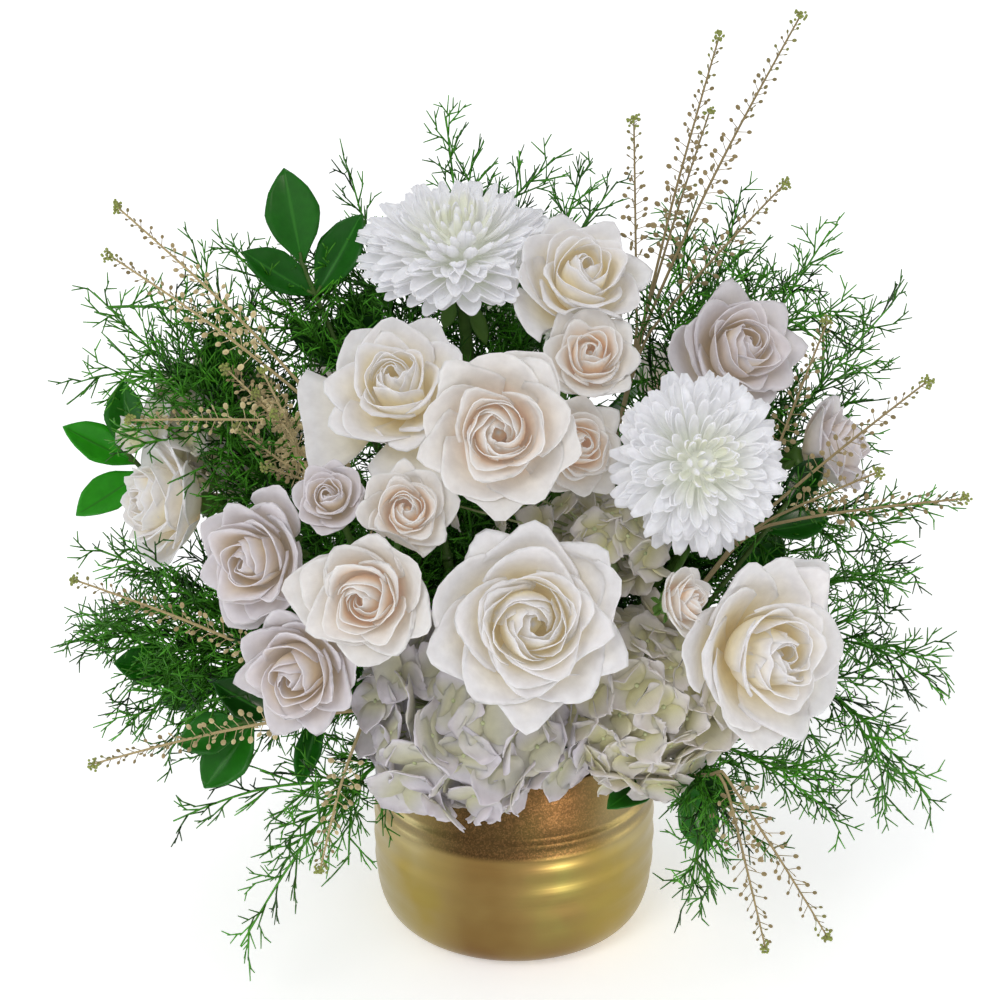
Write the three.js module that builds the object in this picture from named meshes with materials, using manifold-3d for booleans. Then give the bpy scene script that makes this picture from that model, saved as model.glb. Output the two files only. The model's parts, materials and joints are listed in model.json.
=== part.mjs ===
// Floral table centerpiece: white roses, spray roses, chrysanthemums and hydrangeas with plume
// asparagus, glossy broad leaves and dried pennycress, standing in wet floral foam in a round
// gold pot. Millimetres, +Z up, front towards -Y, origin at the middle of the pot's underside.
//
// Every stem is led from its flower or tip to its own hole in the foam, and all stems are relaxed
// together until they part. Petals that would lie in a flower in front of them are bent clear, and
// a floret, twig, pod or leaf that would cross something already there isn't grown.
import * as THREE from 'three';
import { mergeVertices } from 'three/addons/utils/BufferGeometryUtils.js';
import Module from 'manifold-3d';

const wasm = await Module();
wasm.setup();

// ---------------------------------------------------------------- driving dimensions

const POT = { height: 105, foot: 48, belly: 72.5, bellyAt: 46, rim: 66, wall: 2.4, floor: 4, step: 1.2, sides: 24 };
const FOAM = { top: 113, shoulder: 6, gap: 0.6, radius: 61, sides: 16 };
const HOLE = { depth: 40, gap: 0.5, sides: 4, collar: 5, spread: 0.27, reach: 50, apart: 12.5, rounds: 300 };
const STEM = {
  rose: 2.6, spray: 1.9, mum: 3.2, hydrangea: 3.4, fern: 1.5, leafy: 1.7, cress: 1.15, stalk: 1.5,
  sides: 3, knot: 2.2,
};
const CLEAR = { petal: 1.2, stem: 1.6, joint: 0.3, floor: 4, rounds: 90, bend: 0.7, weld: 0.15 };
const PETAL = { thick: 1.8, tuck: 2.2, rows: 3, columns: 3 };
const FLORET = { span: 0.35, cup: 0.07, rim: 0.2, notch: 0.45, lobeHalfAngle: 0.42, plainSize: 13.5, core: 0.56 };
const RAY = { width: 9.5, thick: 1.9, columns: 9 };
const SPRIG = { step: 26, taper: 0.55 };
const TWIG = { length: 36, spacing: 23, node: 1.9, lean: 0.72, from: 0.42, forkFrom: 0.22 };
const POD = { stalk: 7.5, width: 5.2, thick: 1.7, spacing: 30, node: 1.3, from: 0.45 };
const LEAF = { thick: 1.6, curl: 3 };

const COLOUR = {
  gold: { color: 0xa98a44, metalness: 0.9, roughness: 0.38 },
  foam: { color: 0x3f6b45, roughness: 0.95 },
  white: { color: 0xf1eee6, roughness: 0.6 },
  cream: { color: 0xf2e9d8, roughness: 0.6 },
  blush: { color: 0xf0dfd6, roughness: 0.6 },
  lilac: { color: 0xe9e4e6, roughness: 0.65 },
  stem: { color: 0x5f8a45, roughness: 0.6 },
  fern: { color: 0x2f7a2c, roughness: 0.6 },
  leaf: { color: 0x1f6b25, roughness: 0.35 },
  straw: { color: 0xb59a63, roughness: 0.75 },
};

// Each flower: its middle, the way it faces (degrees right of the front, degrees above level) and
// its width. Guards are the bearings of its loose outermost petals. The nearest flowers come first: a
// later one gives way to an earlier one.
const FLOWERS = [
  { name: 'rose_front', kind: 'rose', at: [6, -120, 217], face: [6, 20], width: 86, colour: 'white' },
  { name: 'spray_rose_mid', kind: 'spray', at: [-66, -118, 228], face: [-12, 14], width: 60, colour: 'blush' },
  { name: 'rose_right', kind: 'rose', at: [116, -97, 191], face: [34, 16], width: 82, colour: 'white' },
  { name: 'rose_centre', kind: 'rose', at: [-8, -98, 299], face: [0, 20], width: 68, colour: 'cream' },
  { name: 'spray_rose_low', kind: 'spray', at: [-99, -105, 185], face: [-18, 4], width: 60, colour: 'blush' },
  { name: 'spray_rose_left', kind: 'spray', at: [-119, -85, 232], face: [-28, 12], width: 58, colour: 'blush' },
  { name: 'mum_right', kind: 'mum', at: [84, -66, 272], face: [14, 22], width: 90, colour: 'white' },
  {
    name: 'rose_upper_left', kind: 'rose', at: [-54, -55, 306], face: [-12, 48], width: 66, colour: 'cream',
    guards: [196, 318],
  },
  { name: 'spray_rose_small', kind: 'spray', at: [-49, -100, 262], face: [4, 30], width: 44, colour: 'blush' },
  { name: 'spray_rose_bud', kind: 'spray', at: [-84, -88, 264], face: [-12, 40], width: 34, colour: 'blush' },
  { name: 'rose_bud_right', kind: 'spray', at: [77, -102, 219], face: [54, 26], width: 33, colour: 'blush' },
  { name: 'spray_rose_behind', kind: 'spray', at: [28, -62, 279], face: [22, 22], width: 47, colour: 'cream' },
  { name: 'spray_rose_upper', kind: 'spray', at: [34, -42, 316], face: [6, 40], width: 47, colour: 'cream' },
  { name: 'spray_rose_top', kind: 'spray', at: [31, -14, 346], face: [18, 48], width: 62, colour: 'cream' },
  { name: 'spray_rose_right', kind: 'spray', at: [107, -8, 309], face: [26, 32], width: 62, colour: 'blush' },
  { name: 'mum_top', kind: 'mum', at: [-27, 12, 354], face: [-4, 56], width: 102, colour: 'white' },
  { name: 'rose_left', kind: 'rose', at: [-170, -22, 236], face: [-62, 12], width: 64, colour: 'white' },
  { name: 'spray_rose_far_right', kind: 'spray', at: [156, -4, 258], face: [72, 22], width: 52, colour: 'cream' },
  { name: 'rose_back_left', kind: 'rose', at: [-78, 92, 262], face: [-150, 22], width: 70, colour: 'white' },
  { name: 'rose_back_right', kind: 'rose', at: [92, 92, 250], face: [146, 20], width: 68, colour: 'cream' },
  { name: 'mum_back', kind: 'mum', at: [6, 104, 300], face: [176, 32], width: 84, colour: 'white' },
  { name: 'hydrangea_front', kind: 'hydrangea', at: [-24, -78, 151], face: [-10, 0], width: 96, colour: 'lilac' },
  { name: 'hydrangea_right', kind: 'hydrangea', at: [60, -68, 154], face: [20, 0], width: 84, colour: 'lilac' },
  { name: 'hydrangea_centre', kind: 'hydrangea', at: [44, -54, 228], face: [20, 30], width: 48, colour: 'lilac' },
  { name: 'hydrangea_left', kind: 'hydrangea', at: [-150, 34, 252], face: [-70, 20], width: 70, colour: 'lilac' },
  { name: 'hydrangea_back', kind: 'hydrangea', at: [0, 86, 190], face: [180, 0], width: 100, colour: 'lilac' },
];

// Which flowers share a stem. A fork is where the branches of a spray leave its main stem.
const FLOWER_STEMS = [
  { name: 'stem_rose_front', radius: STEM.rose, flowers: ['rose_front'] },
  { name: 'stem_rose_right', radius: STEM.rose, flowers: ['rose_right'] },
  { name: 'stem_rose_centre', radius: STEM.rose, flowers: ['rose_centre'] },
  { name: 'stem_rose_upper_left', radius: STEM.rose, flowers: ['rose_upper_left'] },
  { name: 'stem_rose_left', radius: STEM.rose, flowers: ['rose_left'] },
  { name: 'stem_mum_right', radius: STEM.mum, flowers: ['mum_right'] },
  { name: 'stem_mum_top', radius: STEM.mum, flowers: ['mum_top'] },
  { name: 'stem_mum_back', radius: STEM.mum, flowers: ['mum_back'] },
  { name: 'stem_rose_back', radius: STEM.rose, fork: [4, 50, 172], flowers: ['rose_back_left', 'rose_back_right'] },
  {
    name: 'stem_spray_left', radius: STEM.spray, fork: [-66, -48, 190],
    flowers: ['spray_rose_mid', 'spray_rose_low', 'spray_rose_left', 'spray_rose_small', 'spray_rose_bud'],
  },
  {
    name: 'stem_spray_centre', radius: STEM.spray, fork: [22, -16, 245],
    flowers: ['spray_rose_behind', 'spray_rose_upper', 'spray_rose_top'],
  },
  {
    name: 'stem_spray_right', radius: STEM.spray, fork: [88, -14, 215],
    flowers: ['rose_bud_right', 'spray_rose_right', 'spray_rose_far_right'],
  },
];

// Plume asparagus: each stem's fronds, as the tip and how far the frond arches above a straight line.
const FERNS = [
  { name: 'fern_left_high', fronds: [[[-201, 2, 334], 26], [[-158, 36, 346], 20], [[-168, -34, 306], 22]] },
  { name: 'fern_top_left', fronds: [[[-80, 44, 381], 18], [[-136, 16, 352], 16], [[-58, 62, 340], 10]] },
  { name: 'fern_top', fronds: [[[-34, 70, 404], 16], [[34, 58, 382], 14], [[2, 88, 368], 14]] },
  { name: 'fern_right_high', fronds: [[[152, 26, 358], 24], [[112, 62, 366], 16], [[84, 36, 362], 12]] },
  { name: 'fern_right', fronds: [[[184, 24, 322], 28], [[198, -34, 240], 24], [[172, 40, 268], 24]] },
  { name: 'fern_right_low', fronds: [[[208, -34, 156], 56], [[203, -62, 96], 62], [[196, -8, 196], 44]] },
  { name: 'fern_front_right', fronds: [[[152, -98, 106], 44], [[92, -104, 64], 38], [[136, -52, 132], 34]] },
  { name: 'fern_left_low', fronds: [[[-218, -44, 172], 46], [[-204, -26, 214], 34], [[-186, -72, 142], 46]] },
  { name: 'fern_front_left', fronds: [[[-131, -112, 44], 56], [[-78, -118, 92], 30], [[-164, -84, 96], 50]] },
  { name: 'fern_back', fronds: [[[-116, 148, 176], 46], [[120, 146, 168], 46], [[4, 160, 150], 40]] },
];

// Broad-leaved shoots: each shoot's tip and arch, and its leaves as [share of the way along, tip, width].
const FRONT = [0, -0.75, 0.66];
const BACK = [0, 0.75, 0.66];
const LEAFY = [
  { name: 'leafy_top', faces: FRONT, shoots: [{ tip: [-104, 20, 346], arch: 14, leaves: [
    [1, [-110, 20, 390], 26], [0.94, [-74, 26, 366], 22], [0.94, [-130, 10, 352], 20],
    [0.8, [-124, 44, 318], 24], [0.8, [-72, 50, 322], 24],
  ] }] },
  { name: 'leafy_left', faces: FRONT, shoots: [
    { tip: [-192, 6, 252], arch: 22, leaves: [
      [1, [-190, 6, 288], 20], [0.97, [-220, 0, 267], 19],
      [0.95, [-214, -14, 226], 20], [0.84, [-196, 40, 214], 22],
    ] },
    { tip: [-146, 2, 282], arch: 8, leaves: [
      [1, [-174, 4, 306], 18], [0.96, [-146, 8, 314], 18], [0.9, [-166, 22, 292], 18],
    ] },
  ] },
  { name: 'leafy_left_low', faces: FRONT, shoots: [
    { tip: [-130, -74, 144], arch: 30, leaves: [
      [1, [-160, -80, 135], 21], [0.97, [-148, -86, 115], 24],
      [0.9, [-142, -80, 168], 20], [0.74, [-108, -84, 98], 18],
    ] },
    { tip: [-160, -30, 150], arch: 20, leaves: [[1, [-196, -38, 158], 22], [0.9, [-178, -20, 128], 22]] },
  ] },
  { name: 'leafy_front_right', faces: FRONT, shoots: [
    { tip: [82, -72, 112], arch: 12, leaves: [
      [1, [94, -74, 74], 20], [0.82, [44, -86, 104], 18], [0.9, [108, -64, 96], 20],
    ] },
    { tip: [132, -22, 236], arch: 10, leaves: [
      [1, [150, -24, 264], 18], [0.92, [158, -16, 226], 20], [0.8, [134, 2, 206], 20],
    ] },
  ] },
  { name: 'leafy_back', faces: BACK, shoots: [
    { tip: [34, 128, 232], arch: 24, leaves: [
      [1, [40, 132, 276], 26], [0.92, [70, 138, 240], 24],
      [0.84, [2, 140, 236], 24], [0.76, [66, 120, 196], 24],
    ] },
    { tip: [-74, 116, 150], arch: 30, leaves: [
      [1, [-98, 136, 132], 24], [0.94, [-56, 138, 134], 24], [0.86, [-100, 104, 168], 24],
    ] },
  ] },
];

// Dried pennycress: each plant's seed spikes, which leave its stem at the fork.
const CRESSES = [
  {
    name: 'pennycress_left_high', fork: [-86, -12, 272],
    spikes: [[-184, -16, 380], [-186, -34, 362], [-176, -62, 292]],
  },
  {
    name: 'pennycress_left_low', fork: [-70, -72, 150],
    spikes: [[-206, -66, 214], [-194, -112, 142], [-90, -132, 98]],
  },
  {
    name: 'pennycress_top', fork: [60, 26, 300],
    spikes: [[94, 14, 453], [132, 22, 461], [92, 30, 414], [55, 6, 416], [126, 4, 386]],
  },
  {
    name: 'pennycress_right', fork: [112, -30, 226],
    spikes: [[150, 6, 318], [192, -34, 301], [166, -66, 268], [207, -66, 255]],
  },
  { name: 'pennycress_low_right', fork: [98, -86, 126], spikes: [[119, -112, 44], [148, -112, 50]] },
];

// ---------------------------------------------------------------- small helpers

const vec = (x, y, z) => new THREE.Vector3(x, y, z);
const point = (list) => new THREE.Vector3(...list);
const mix = THREE.MathUtils.lerp;
const radians = THREE.MathUtils.degToRad;
const UP = vec(0, 0, 1);

/** A repeatable stream of numbers from 0 to 1, the same on every run. */
function randomStream(seed) {
  let state = seed >>> 0;
  return () => {
    state = (state + 0x6d2b79f5) >>> 0;
    let t = Math.imul(state ^ (state >>> 15), 1 | state);
    t = (t + Math.imul(t ^ (t >>> 7), 61 | t)) ^ t;
    return ((t ^ (t >>> 14)) >>> 0) / 4294967296;
  };
}

/** The unit vector of a flower that faces these degrees right of the front and above level. */
function facing([right, lift]) {
  const a = radians(right);
  const e = radians(lift);
  return vec(Math.sin(a) * Math.cos(e), -Math.cos(a) * Math.cos(e), Math.sin(e));
}

/** A matrix with its origin at a point and its +Z along a direction. */
function frameAt(origin, direction) {
  const turn = new THREE.Quaternion().setFromUnitVectors(UP, direction.clone().normalize());
  return new THREE.Matrix4().compose(origin, turn, vec(1, 1, 1));
}

/** A three.js geometry with its coinciding corners merged. */
function indexed(geometry) {
  const bare = geometry.clone();
  bare.deleteAttribute('normal');
  bare.deleteAttribute('uv');
  return mergeVertices(bare, 1e-4);
}

/** A closed three.js geometry as a solid that can be joined and cut, its faces turned out if they face in. */
function solid(geometry) {
  const { index, attributes } = indexed(geometry);
  const corners = Float32Array.from(attributes.position.array);
  const faces = Uint32Array.from(index.array);
  const make = () => new wasm.Manifold(new wasm.Mesh({ numProp: 3, vertProperties: corners, triVerts: faces }));
  const made = make();
  if (made.volume() > 0) return made;
  for (let i = 0; i < faces.length; i += 3) [faces[i + 1], faces[i + 2]] = [faces[i + 2], faces[i + 1]];
  return make();
}

/** A solid from corner points and faces that list three of them each. */
function polyhedron(corners, faces) {
  return solid(new THREE.BufferGeometry().setFromPoints(corners).setIndex(faces.flat()));
}

/** Joins solids into one, and keeps its largest piece without its slivers. */
function join(solids) {
  const whole = solids.length > 1 ? wasm.Manifold.union(solids) : solids[0];
  const pieces = whole.asOriginal().simplify(CLEAR.weld).decompose();
  pieces.sort((a, b) => b.volume() - a.volume());
  return pieces[0];
}

/** Leaves out the points of a run that lie within a tolerance of the line without them. */
function thinned(points, tolerance = CLEAR.bend) {
  const [first, last] = [points[0], points[points.length - 1]];
  const line = new THREE.Line3(first, last);
  const away = points.map((p) => line.closestPointToPoint(p, true, vec()).distanceTo(p));
  const worst = away.indexOf(Math.max(...away));
  if (away[worst] <= tolerance) return [first, last];
  const before = thinned(points.slice(0, worst + 1), tolerance);
  return [...before, ...thinned(points.slice(worst), tolerance).slice(1)];
}

/**
 * A closed surface that grows: rings of corners are added one on another, and any face can be drawn out.
 * A ring runs anticlockwise when it is seen from the side that it grows to.
 */
class Growth {
  corners = [];
  faces = [];

  add(points) {
    return points.map((p) => this.corners.push(p) - 1);
  }

  /** Joins two rings, of equal or different counts, that start at the same bearing. */
  band(low, high) {
    let i = 0;
    let j = 0;
    while (i < low.length || j < high.length) {
      const a = low[i % low.length];
      const b = high[j % high.length];
      if (j === high.length || (i < low.length && (i + 0.5) / low.length < (j + 0.5) / high.length + 1e-6)) {
        this.faces.push([a, low[(i + 1) % low.length], b]);
        i += 1;
      } else {
        this.faces.push([a, high[(j + 1) % high.length], b]);
        j += 1;
      }
    }
  }

  /** Closes a ring with a fan to one corner. */
  cone(ring, tip) {
    for (const [i, a] of ring.entries()) this.faces.push([a, ring[(i + 1) % ring.length], tip]);
  }

  /** Closes a ring flat. */
  cap(ring) {
    for (let i = 1; i + 1 < ring.length; i++) this.faces.push([ring[0], ring[i], ring[i + 1]]);
  }

  /** Draws a face out through rings of points to a tip. */
  drawOut(face, rings, tip) {
    let low = face;
    for (const points of rings) {
      const high = this.add(points);
      this.band(low, high);
      low = high;
    }
    this.cone(low, this.add([tip])[0]);
  }

  solid() {
    return polyhedron(this.corners, this.faces);
  }
}

/** What is drawn out of a face, as a closed solid of its own, shrunk towards its tip by a share. */
function offshoot(base, rings, tip, share = 1) {
  const drawn = new Growth();
  const shrink = (p) => tip.clone().lerp(p, share);
  const face = drawn.add(base.map(shrink));
  drawn.cap([...face].reverse());
  drawn.drawOut(face, rings.map((ring) => ring.map(shrink)), tip.clone());
  return drawn.solid();
}

const overlapBoxes = (a, b) => [0, 1, 2].every((i) => a.min[i] < b.max[i] && b.min[i] < a.max[i]);

/** Whether a solid would cross any of the others. */
function crosses(piece, others) {
  const box = piece.boundingBox();
  return others.some((other) => overlapBoxes(box, other.box) && piece.intersect(other.solid).volume() > 1e-4);
}

const boxed = (made) => ({ solid: made, box: made.boundingBox() });

/** Whether a piece of a node would cross what is in place, or the stems that other nodes are to have. */
function blocked(node, piece) {
  return crosses(piece, placed) || crosses(piece, reserved.filter((stem) => stem.node !== node));
}

/** Whether what is drawn out of a face has room: off the ground, and clear of the rest and of its own plant. */
function hasRoom(node, base, rings, tip, own = []) {
  if ([tip, ...rings.flat()].some((p) => p.z < CLEAR.floor)) return false;
  return !blocked(node, offshoot(base, rings, tip)) && !crosses(offshoot(base, rings, tip, 0.8), own);
}

// ---------------------------------------------------------------- what is already in place

const placed = []; // { solid, box } of every finished node
const reserved = []; // { node, solid, box } of every stem, finished or not
const centerpiece = new THREE.Group();
centerpiece.name = 'floral_centerpiece';

/** Adds a finished solid as a named mesh, seated at its own frame. */
function seat(name, made, colour, frame) {
  placed.push(boxed(made));
  const mesh = made.getMesh();
  const geometry = new THREE.BufferGeometry();
  geometry.setAttribute('position', new THREE.BufferAttribute(Float32Array.from(mesh.vertProperties), 3));
  geometry.setIndex(new THREE.BufferAttribute(Uint32Array.from(mesh.triVerts), 1));
  geometry.applyMatrix4(frame.clone().invert());
  geometry.computeVertexNormals();
  const node = new THREE.Mesh(geometry, new THREE.MeshStandardMaterial({ name: colour, ...COLOUR[colour] }));
  node.name = name;
  frame.decompose(node.position, node.quaternion, node.scale);
  centerpiece.add(node);
}

// ---------------------------------------------------------------- flowers: their outlines

const HEIGHT_SHARE = { rose: 0.6, spray: 0.66, mum: 0.5, hydrangea: 1 };
const OUTLINE_SHARE = { rose: 1, spray: 1, mum: 1, hydrangea: 1.08 };
const MIDDLE_SHARE = { rose: 0.52, spray: 0.52, mum: 0.46, hydrangea: 0.5 };

for (const [rank, flower] of FLOWERS.entries()) {
  flower.rank = rank;
  flower.axis = facing(flower.face);
  flower.height = flower.width * HEIGHT_SHARE[flower.kind];
  flower.foot = point(flower.at).addScaledVector(flower.axis, -flower.height * MIDDLE_SHARE[flower.kind]);
  flower.frame = frameAt(flower.foot, flower.axis);
  flower.middle = flower.foot.clone().addScaledVector(flower.axis, flower.height / 2);
}

/** Moves a point out of a flower's egg-shaped outline, grown by a gap. Returns whether it moved. */
function leaveOutline(p, flower, gap) {
  const across = flower.width / 2 * OUTLINE_SHARE[flower.kind] + gap;
  const along = flower.height / 2 * OUTLINE_SHARE[flower.kind] + gap;
  const offset = p.clone().sub(flower.middle);
  const up = offset.dot(flower.axis);
  const side = offset.addScaledVector(flower.axis, -up);
  const depth = Math.hypot(side.length() / across, up / along);
  if (depth >= 1 || depth < 1e-6) return false;
  p.copy(flower.middle).addScaledVector(side, 1 / depth).addScaledVector(flower.axis, up / depth);
  return true;
}

/** Bends a petal's point clear of the flowers in front of its own. */
function bendClear(p, flower) {
  for (let round = 0; round < 3; round++) {
    for (const other of FLOWERS) {
      if (other.rank < flower.rank) leaveOutline(p, other, CLEAR.petal);
    }
  }
  return p;
}

// ---------------------------------------------------------------- stems: routes that part

/** Shortest link between two segments: where on each, and how far. */
function closest(a, b, c, d) {
  const u = b.clone().sub(a);
  const v = d.clone().sub(c);
  const w = a.clone().sub(c);
  const uu = u.dot(u);
  const uv = u.dot(v);
  const vv = v.dot(v);
  const uw = u.dot(w);
  const vw = v.dot(w);
  const det = uu * vv - uv * uv;
  let s = det > 1e-9 ? THREE.MathUtils.clamp((uv * vw - vv * uw) / det, 0, 1) : 0;
  const t = THREE.MathUtils.clamp((uv * s + vw) / vv, 0, 1);
  s = THREE.MathUtils.clamp((uv * t - uw) / uu, 0, 1);
  const link = a.clone().addScaledVector(u, s).sub(c.clone().addScaledVector(v, t));
  return { s, t, link, distance: link.length() };
}

const strands = []; // every run of stem: { node, radius, points, flower, holds }

/** Lays a stem run along a smooth curve through four guide points. */
function layStrand(node, radius, guides, flower = null) {
  const curve = new THREE.CubicBezierCurve3(...guides);
  const steps = Math.max(5, Math.round(curve.getLength() / 15));
  const strand = { node, radius, flower, points: curve.getSpacedPoints(steps) };
  strands.push(strand);
  return strand;
}

/** Keeps a point of a stem out of the pot's wall: over the rim, or outside it. */
function leavePot(p, radius) {
  const out = Math.hypot(p.x, p.y);
  const limit = POT.belly + radius + CLEAR.stem;
  const over = FOAM.top + HOLE.collar + radius;
  if (out >= limit || p.z >= over) return;
  if (limit - out < over - p.z) {
    p.x *= limit / out;
    p.y *= limit / out;
  } else {
    p.z = over;
  }
}

/** One round of parting: stems straighten a little, leave flowers and the pot, and push each other off. */
function partStems() {
  for (const strand of strands) {
    const last = strand.points.length - 1;
    for (let i = 1; i < last; i++) {
      const p = strand.points[i];
      p.lerp(strand.points[i - 1].clone().lerp(strand.points[i + 1], 0.5), 0.18);
      for (const flower of FLOWERS) {
        const own = strand.flower === flower;
        if (!own || (i < last - 2 && flower.kind !== 'hydrangea')) {
          leaveOutline(p, flower, strand.radius + CLEAR.stem);
        }
      }
      leavePot(p, strand.radius);
    }
  }
  for (const [i, one] of strands.entries()) {
    for (const two of strands.slice(i + 1)) {
      if (one.node !== two.node) pushApart(one, two);
    }
  }
}

/** Moves two stem runs apart wherever they come closer than their radii and the gap. */
function pushApart(one, two) {
  const room = one.radius + two.radius + CLEAR.stem;
  for (let i = 0; i + 1 < one.points.length; i++) {
    for (let j = 0; j + 1 < two.points.length; j++) {
      const [a, b, c, d] = [one.points[i], one.points[i + 1], two.points[j], two.points[j + 1]];
      if (Math.abs(a.x - c.x) + Math.abs(a.y - c.y) + Math.abs(a.z - c.z) > 70) continue;
      const { s, t, link, distance } = closest(a, b, c, d);
      if (distance >= room || distance < 1e-6) continue;
      link.multiplyScalar((room - distance) / distance / 2);
      if (i > 0) a.addScaledVector(link, 1 - s);
      if (i + 2 < one.points.length) b.addScaledVector(link, s);
      if (j > 0) c.addScaledVector(link, t - 1);
      if (j + 2 < two.points.length) d.addScaledVector(link, -t);
    }
  }
}

// Where each stem enters the foam: towards its flower or tip, and clear of the other holes.
const holes = [];

function claimHole(radius, target) {
  const hole = { radius, x: target.x * HOLE.spread, y: target.y * HOLE.spread };
  holes.push(hole);
  return hole;
}

/** Spreads the holes over the foam until no two are closer than HOLE.apart. */
function spreadHoles() {
  for (let round = 0; round < HOLE.rounds; round++) {
    for (const [i, a] of holes.entries()) {
      for (const b of holes.slice(i + 1)) {
        const dx = a.x - b.x || 0.01;
        const dy = a.y - b.y || 0.01;
        const gap = Math.hypot(dx, dy);
        if (gap >= HOLE.apart) continue;
        const push = (HOLE.apart - gap) / gap / 2;
        a.x += dx * push;
        a.y += dy * push;
        b.x -= dx * push;
        b.y -= dy * push;
      }
      const out = Math.hypot(a.x, a.y);
      if (out > HOLE.reach) {
        a.x *= HOLE.reach / out;
        a.y *= HOLE.reach / out;
      }
    }
  }
}

const average = (points) => points.reduce((sum, p) => sum.add(p), vec(0, 0, 0)).divideScalar(points.length);
const flowerNamed = (name) => FLOWERS.find((flower) => flower.name === name);

for (const stem of FLOWER_STEMS) {
  stem.hole = claimHole(stem.radius, average(stem.flowers.map((name) => flowerNamed(name).foot.clone())));
}
for (const flower of FLOWERS.filter(({ kind }) => kind === 'hydrangea')) {
  flower.hole = claimHole(STEM.hydrangea, flower.foot);
}
for (const fern of FERNS) fern.hole = claimHole(STEM.fern, average(fern.fronds.map(([tip]) => point(tip))));
for (const plant of LEAFY) plant.hole = claimHole(STEM.leafy, average(plant.shoots.map(({ tip }) => point(tip))));
for (const cress of CRESSES) cress.hole = claimHole(STEM.stalk, average(cress.spikes.map(point)));
spreadHoles();

const holeTop = (hole) => vec(hole.x, hole.y, FOAM.top + HOLE.collar);

/** Guides from a hole to a flower's foot, which the stem meets from behind. */
function flowerGuides(from, flower) {
  const behindFoot = () => flower.foot.clone().addScaledVector(flower.axis, -4);
  const end = flower.kind === 'hydrangea' ? flower.middle.clone() : behindFoot();
  const reach = from.distanceTo(end);
  return [
    from, from.clone().addScaledVector(UP, reach * 0.3),
    end.clone().addScaledVector(flower.axis, -reach * 0.32), end,
  ];
}

/** Guides from a point to a tip, arching above the straight line. */
function archGuides(from, tip, arch) {
  return [
    from, from.clone().lerp(tip, 0.22).addScaledVector(UP, arch * 0.9 + 8),
    from.clone().lerp(tip, 0.66).addScaledVector(UP, arch), tip,
  ];
}

for (const stem of FLOWER_STEMS) {
  const top = holeTop(stem.hole);
  if (stem.fork) {
    const fork = point(stem.fork);
    const rise = top.distanceTo(fork) * 0.35;
    const below = fork.clone().lerp(top, 0.35);
    stem.runs = [layStrand(stem.name, stem.radius, [top, top.clone().addScaledVector(UP, rise), below, fork])];
    for (const name of stem.flowers) {
      const flower = flowerNamed(name);
      stem.runs.push(layStrand(stem.name, stem.radius * 0.8, flowerGuides(fork.clone(), flower), flower));
    }
  } else {
    const flower = flowerNamed(stem.flowers[0]);
    stem.runs = [layStrand(stem.name, stem.radius, flowerGuides(top, flower), flower)];
  }
}
for (const flower of FLOWERS.filter(({ kind }) => kind === 'hydrangea')) {
  flower.run = layStrand(flower.name, STEM.hydrangea, flowerGuides(holeTop(flower.hole), flower), flower);
}

/** Lays a plant's main run to its first tip, and its other runs from a fork part of the way along it. */
function layPlant(plant, radius, tips, forkShare) {
  const [first, ...others] = tips;
  const main = layStrand(plant.name, radius, archGuides(holeTop(plant.hole), point(first.tip), first.arch));
  const fork = main.points[Math.round(main.points.length * forkShare)];
  plant.runs = [main];
  for (const { tip, arch } of others) {
    const branch = layStrand(plant.name, radius * 0.85, archGuides(fork.clone(), point(tip), arch * 0.7));
    branch.points[0] = fork;
    plant.runs.push(branch);
  }
}

for (const fern of FERNS) layPlant(fern, STEM.fern, fern.fronds.map(([tip, arch]) => ({ tip, arch })), 0.36);
for (const plant of LEAFY) layPlant(plant, STEM.leafy, plant.shoots, 0.3);
for (const cress of CRESSES) {
  const fork = point(cress.fork);
  cress.runs = [layStrand(cress.name, STEM.stalk, archGuides(holeTop(cress.hole), fork, 12))];
  for (const tip of cress.spikes) {
    const end = point(tip);
    const arch = fork.distanceTo(end) * 0.08;
    cress.runs.push(layStrand(cress.name, STEM.cress, archGuides(fork.clone(), end, arch)));
  }
}
for (let round = 0; round < CLEAR.rounds; round++) partStems();

// ---------------------------------------------------------------- the pot and the foam

/** The pot's outside, from the foot up: a soft belly, and raised turned rings that step in to the rim. */
function potOutline() {
  const { height, foot, belly, bellyAt, rim, step } = POT;
  const curve = new THREE.CubicBezierCurve(
    new THREE.Vector2(foot, 0), new THREE.Vector2(foot + 17, 1),
    new THREE.Vector2(belly, bellyAt * 0.28), new THREE.Vector2(belly, bellyAt),
  );
  return [
    ...curve.getPoints(4),
    new THREE.Vector2(belly + step / 4, bellyAt + 14), new THREE.Vector2(belly - step, bellyAt + 18),
    new THREE.Vector2(belly - 2 * step, bellyAt + 29), new THREE.Vector2(rim, height),
  ];
}

/** The pot's inside, from the rim down to its floor, a wall or more in from the outside. */
function potInside() {
  const { height, foot, belly, bellyAt, rim, wall, floor, step } = POT;
  const widest = belly - wall - step * 4 / 3;
  return [
    new THREE.Vector2(rim - wall, height), new THREE.Vector2(widest, bellyAt + 12),
    new THREE.Vector2(widest, bellyAt * 0.72), new THREE.Vector2(mix(foot, belly, 0.62) - wall, floor + 6),
    new THREE.Vector2(foot - wall, floor),
  ];
}

/** A profile turned round Z, closed on the axis at both ends. */
function turned(profile, sides) {
  return new THREE.LatheGeometry(profile, sides).rotateX(Math.PI / 2);
}

function makePot() {
  const profile = [new THREE.Vector2(0, 0), ...potOutline(), ...potInside(), new THREE.Vector2(0, POT.floor)];
  return solid(turned(profile, POT.sides));
}

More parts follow.
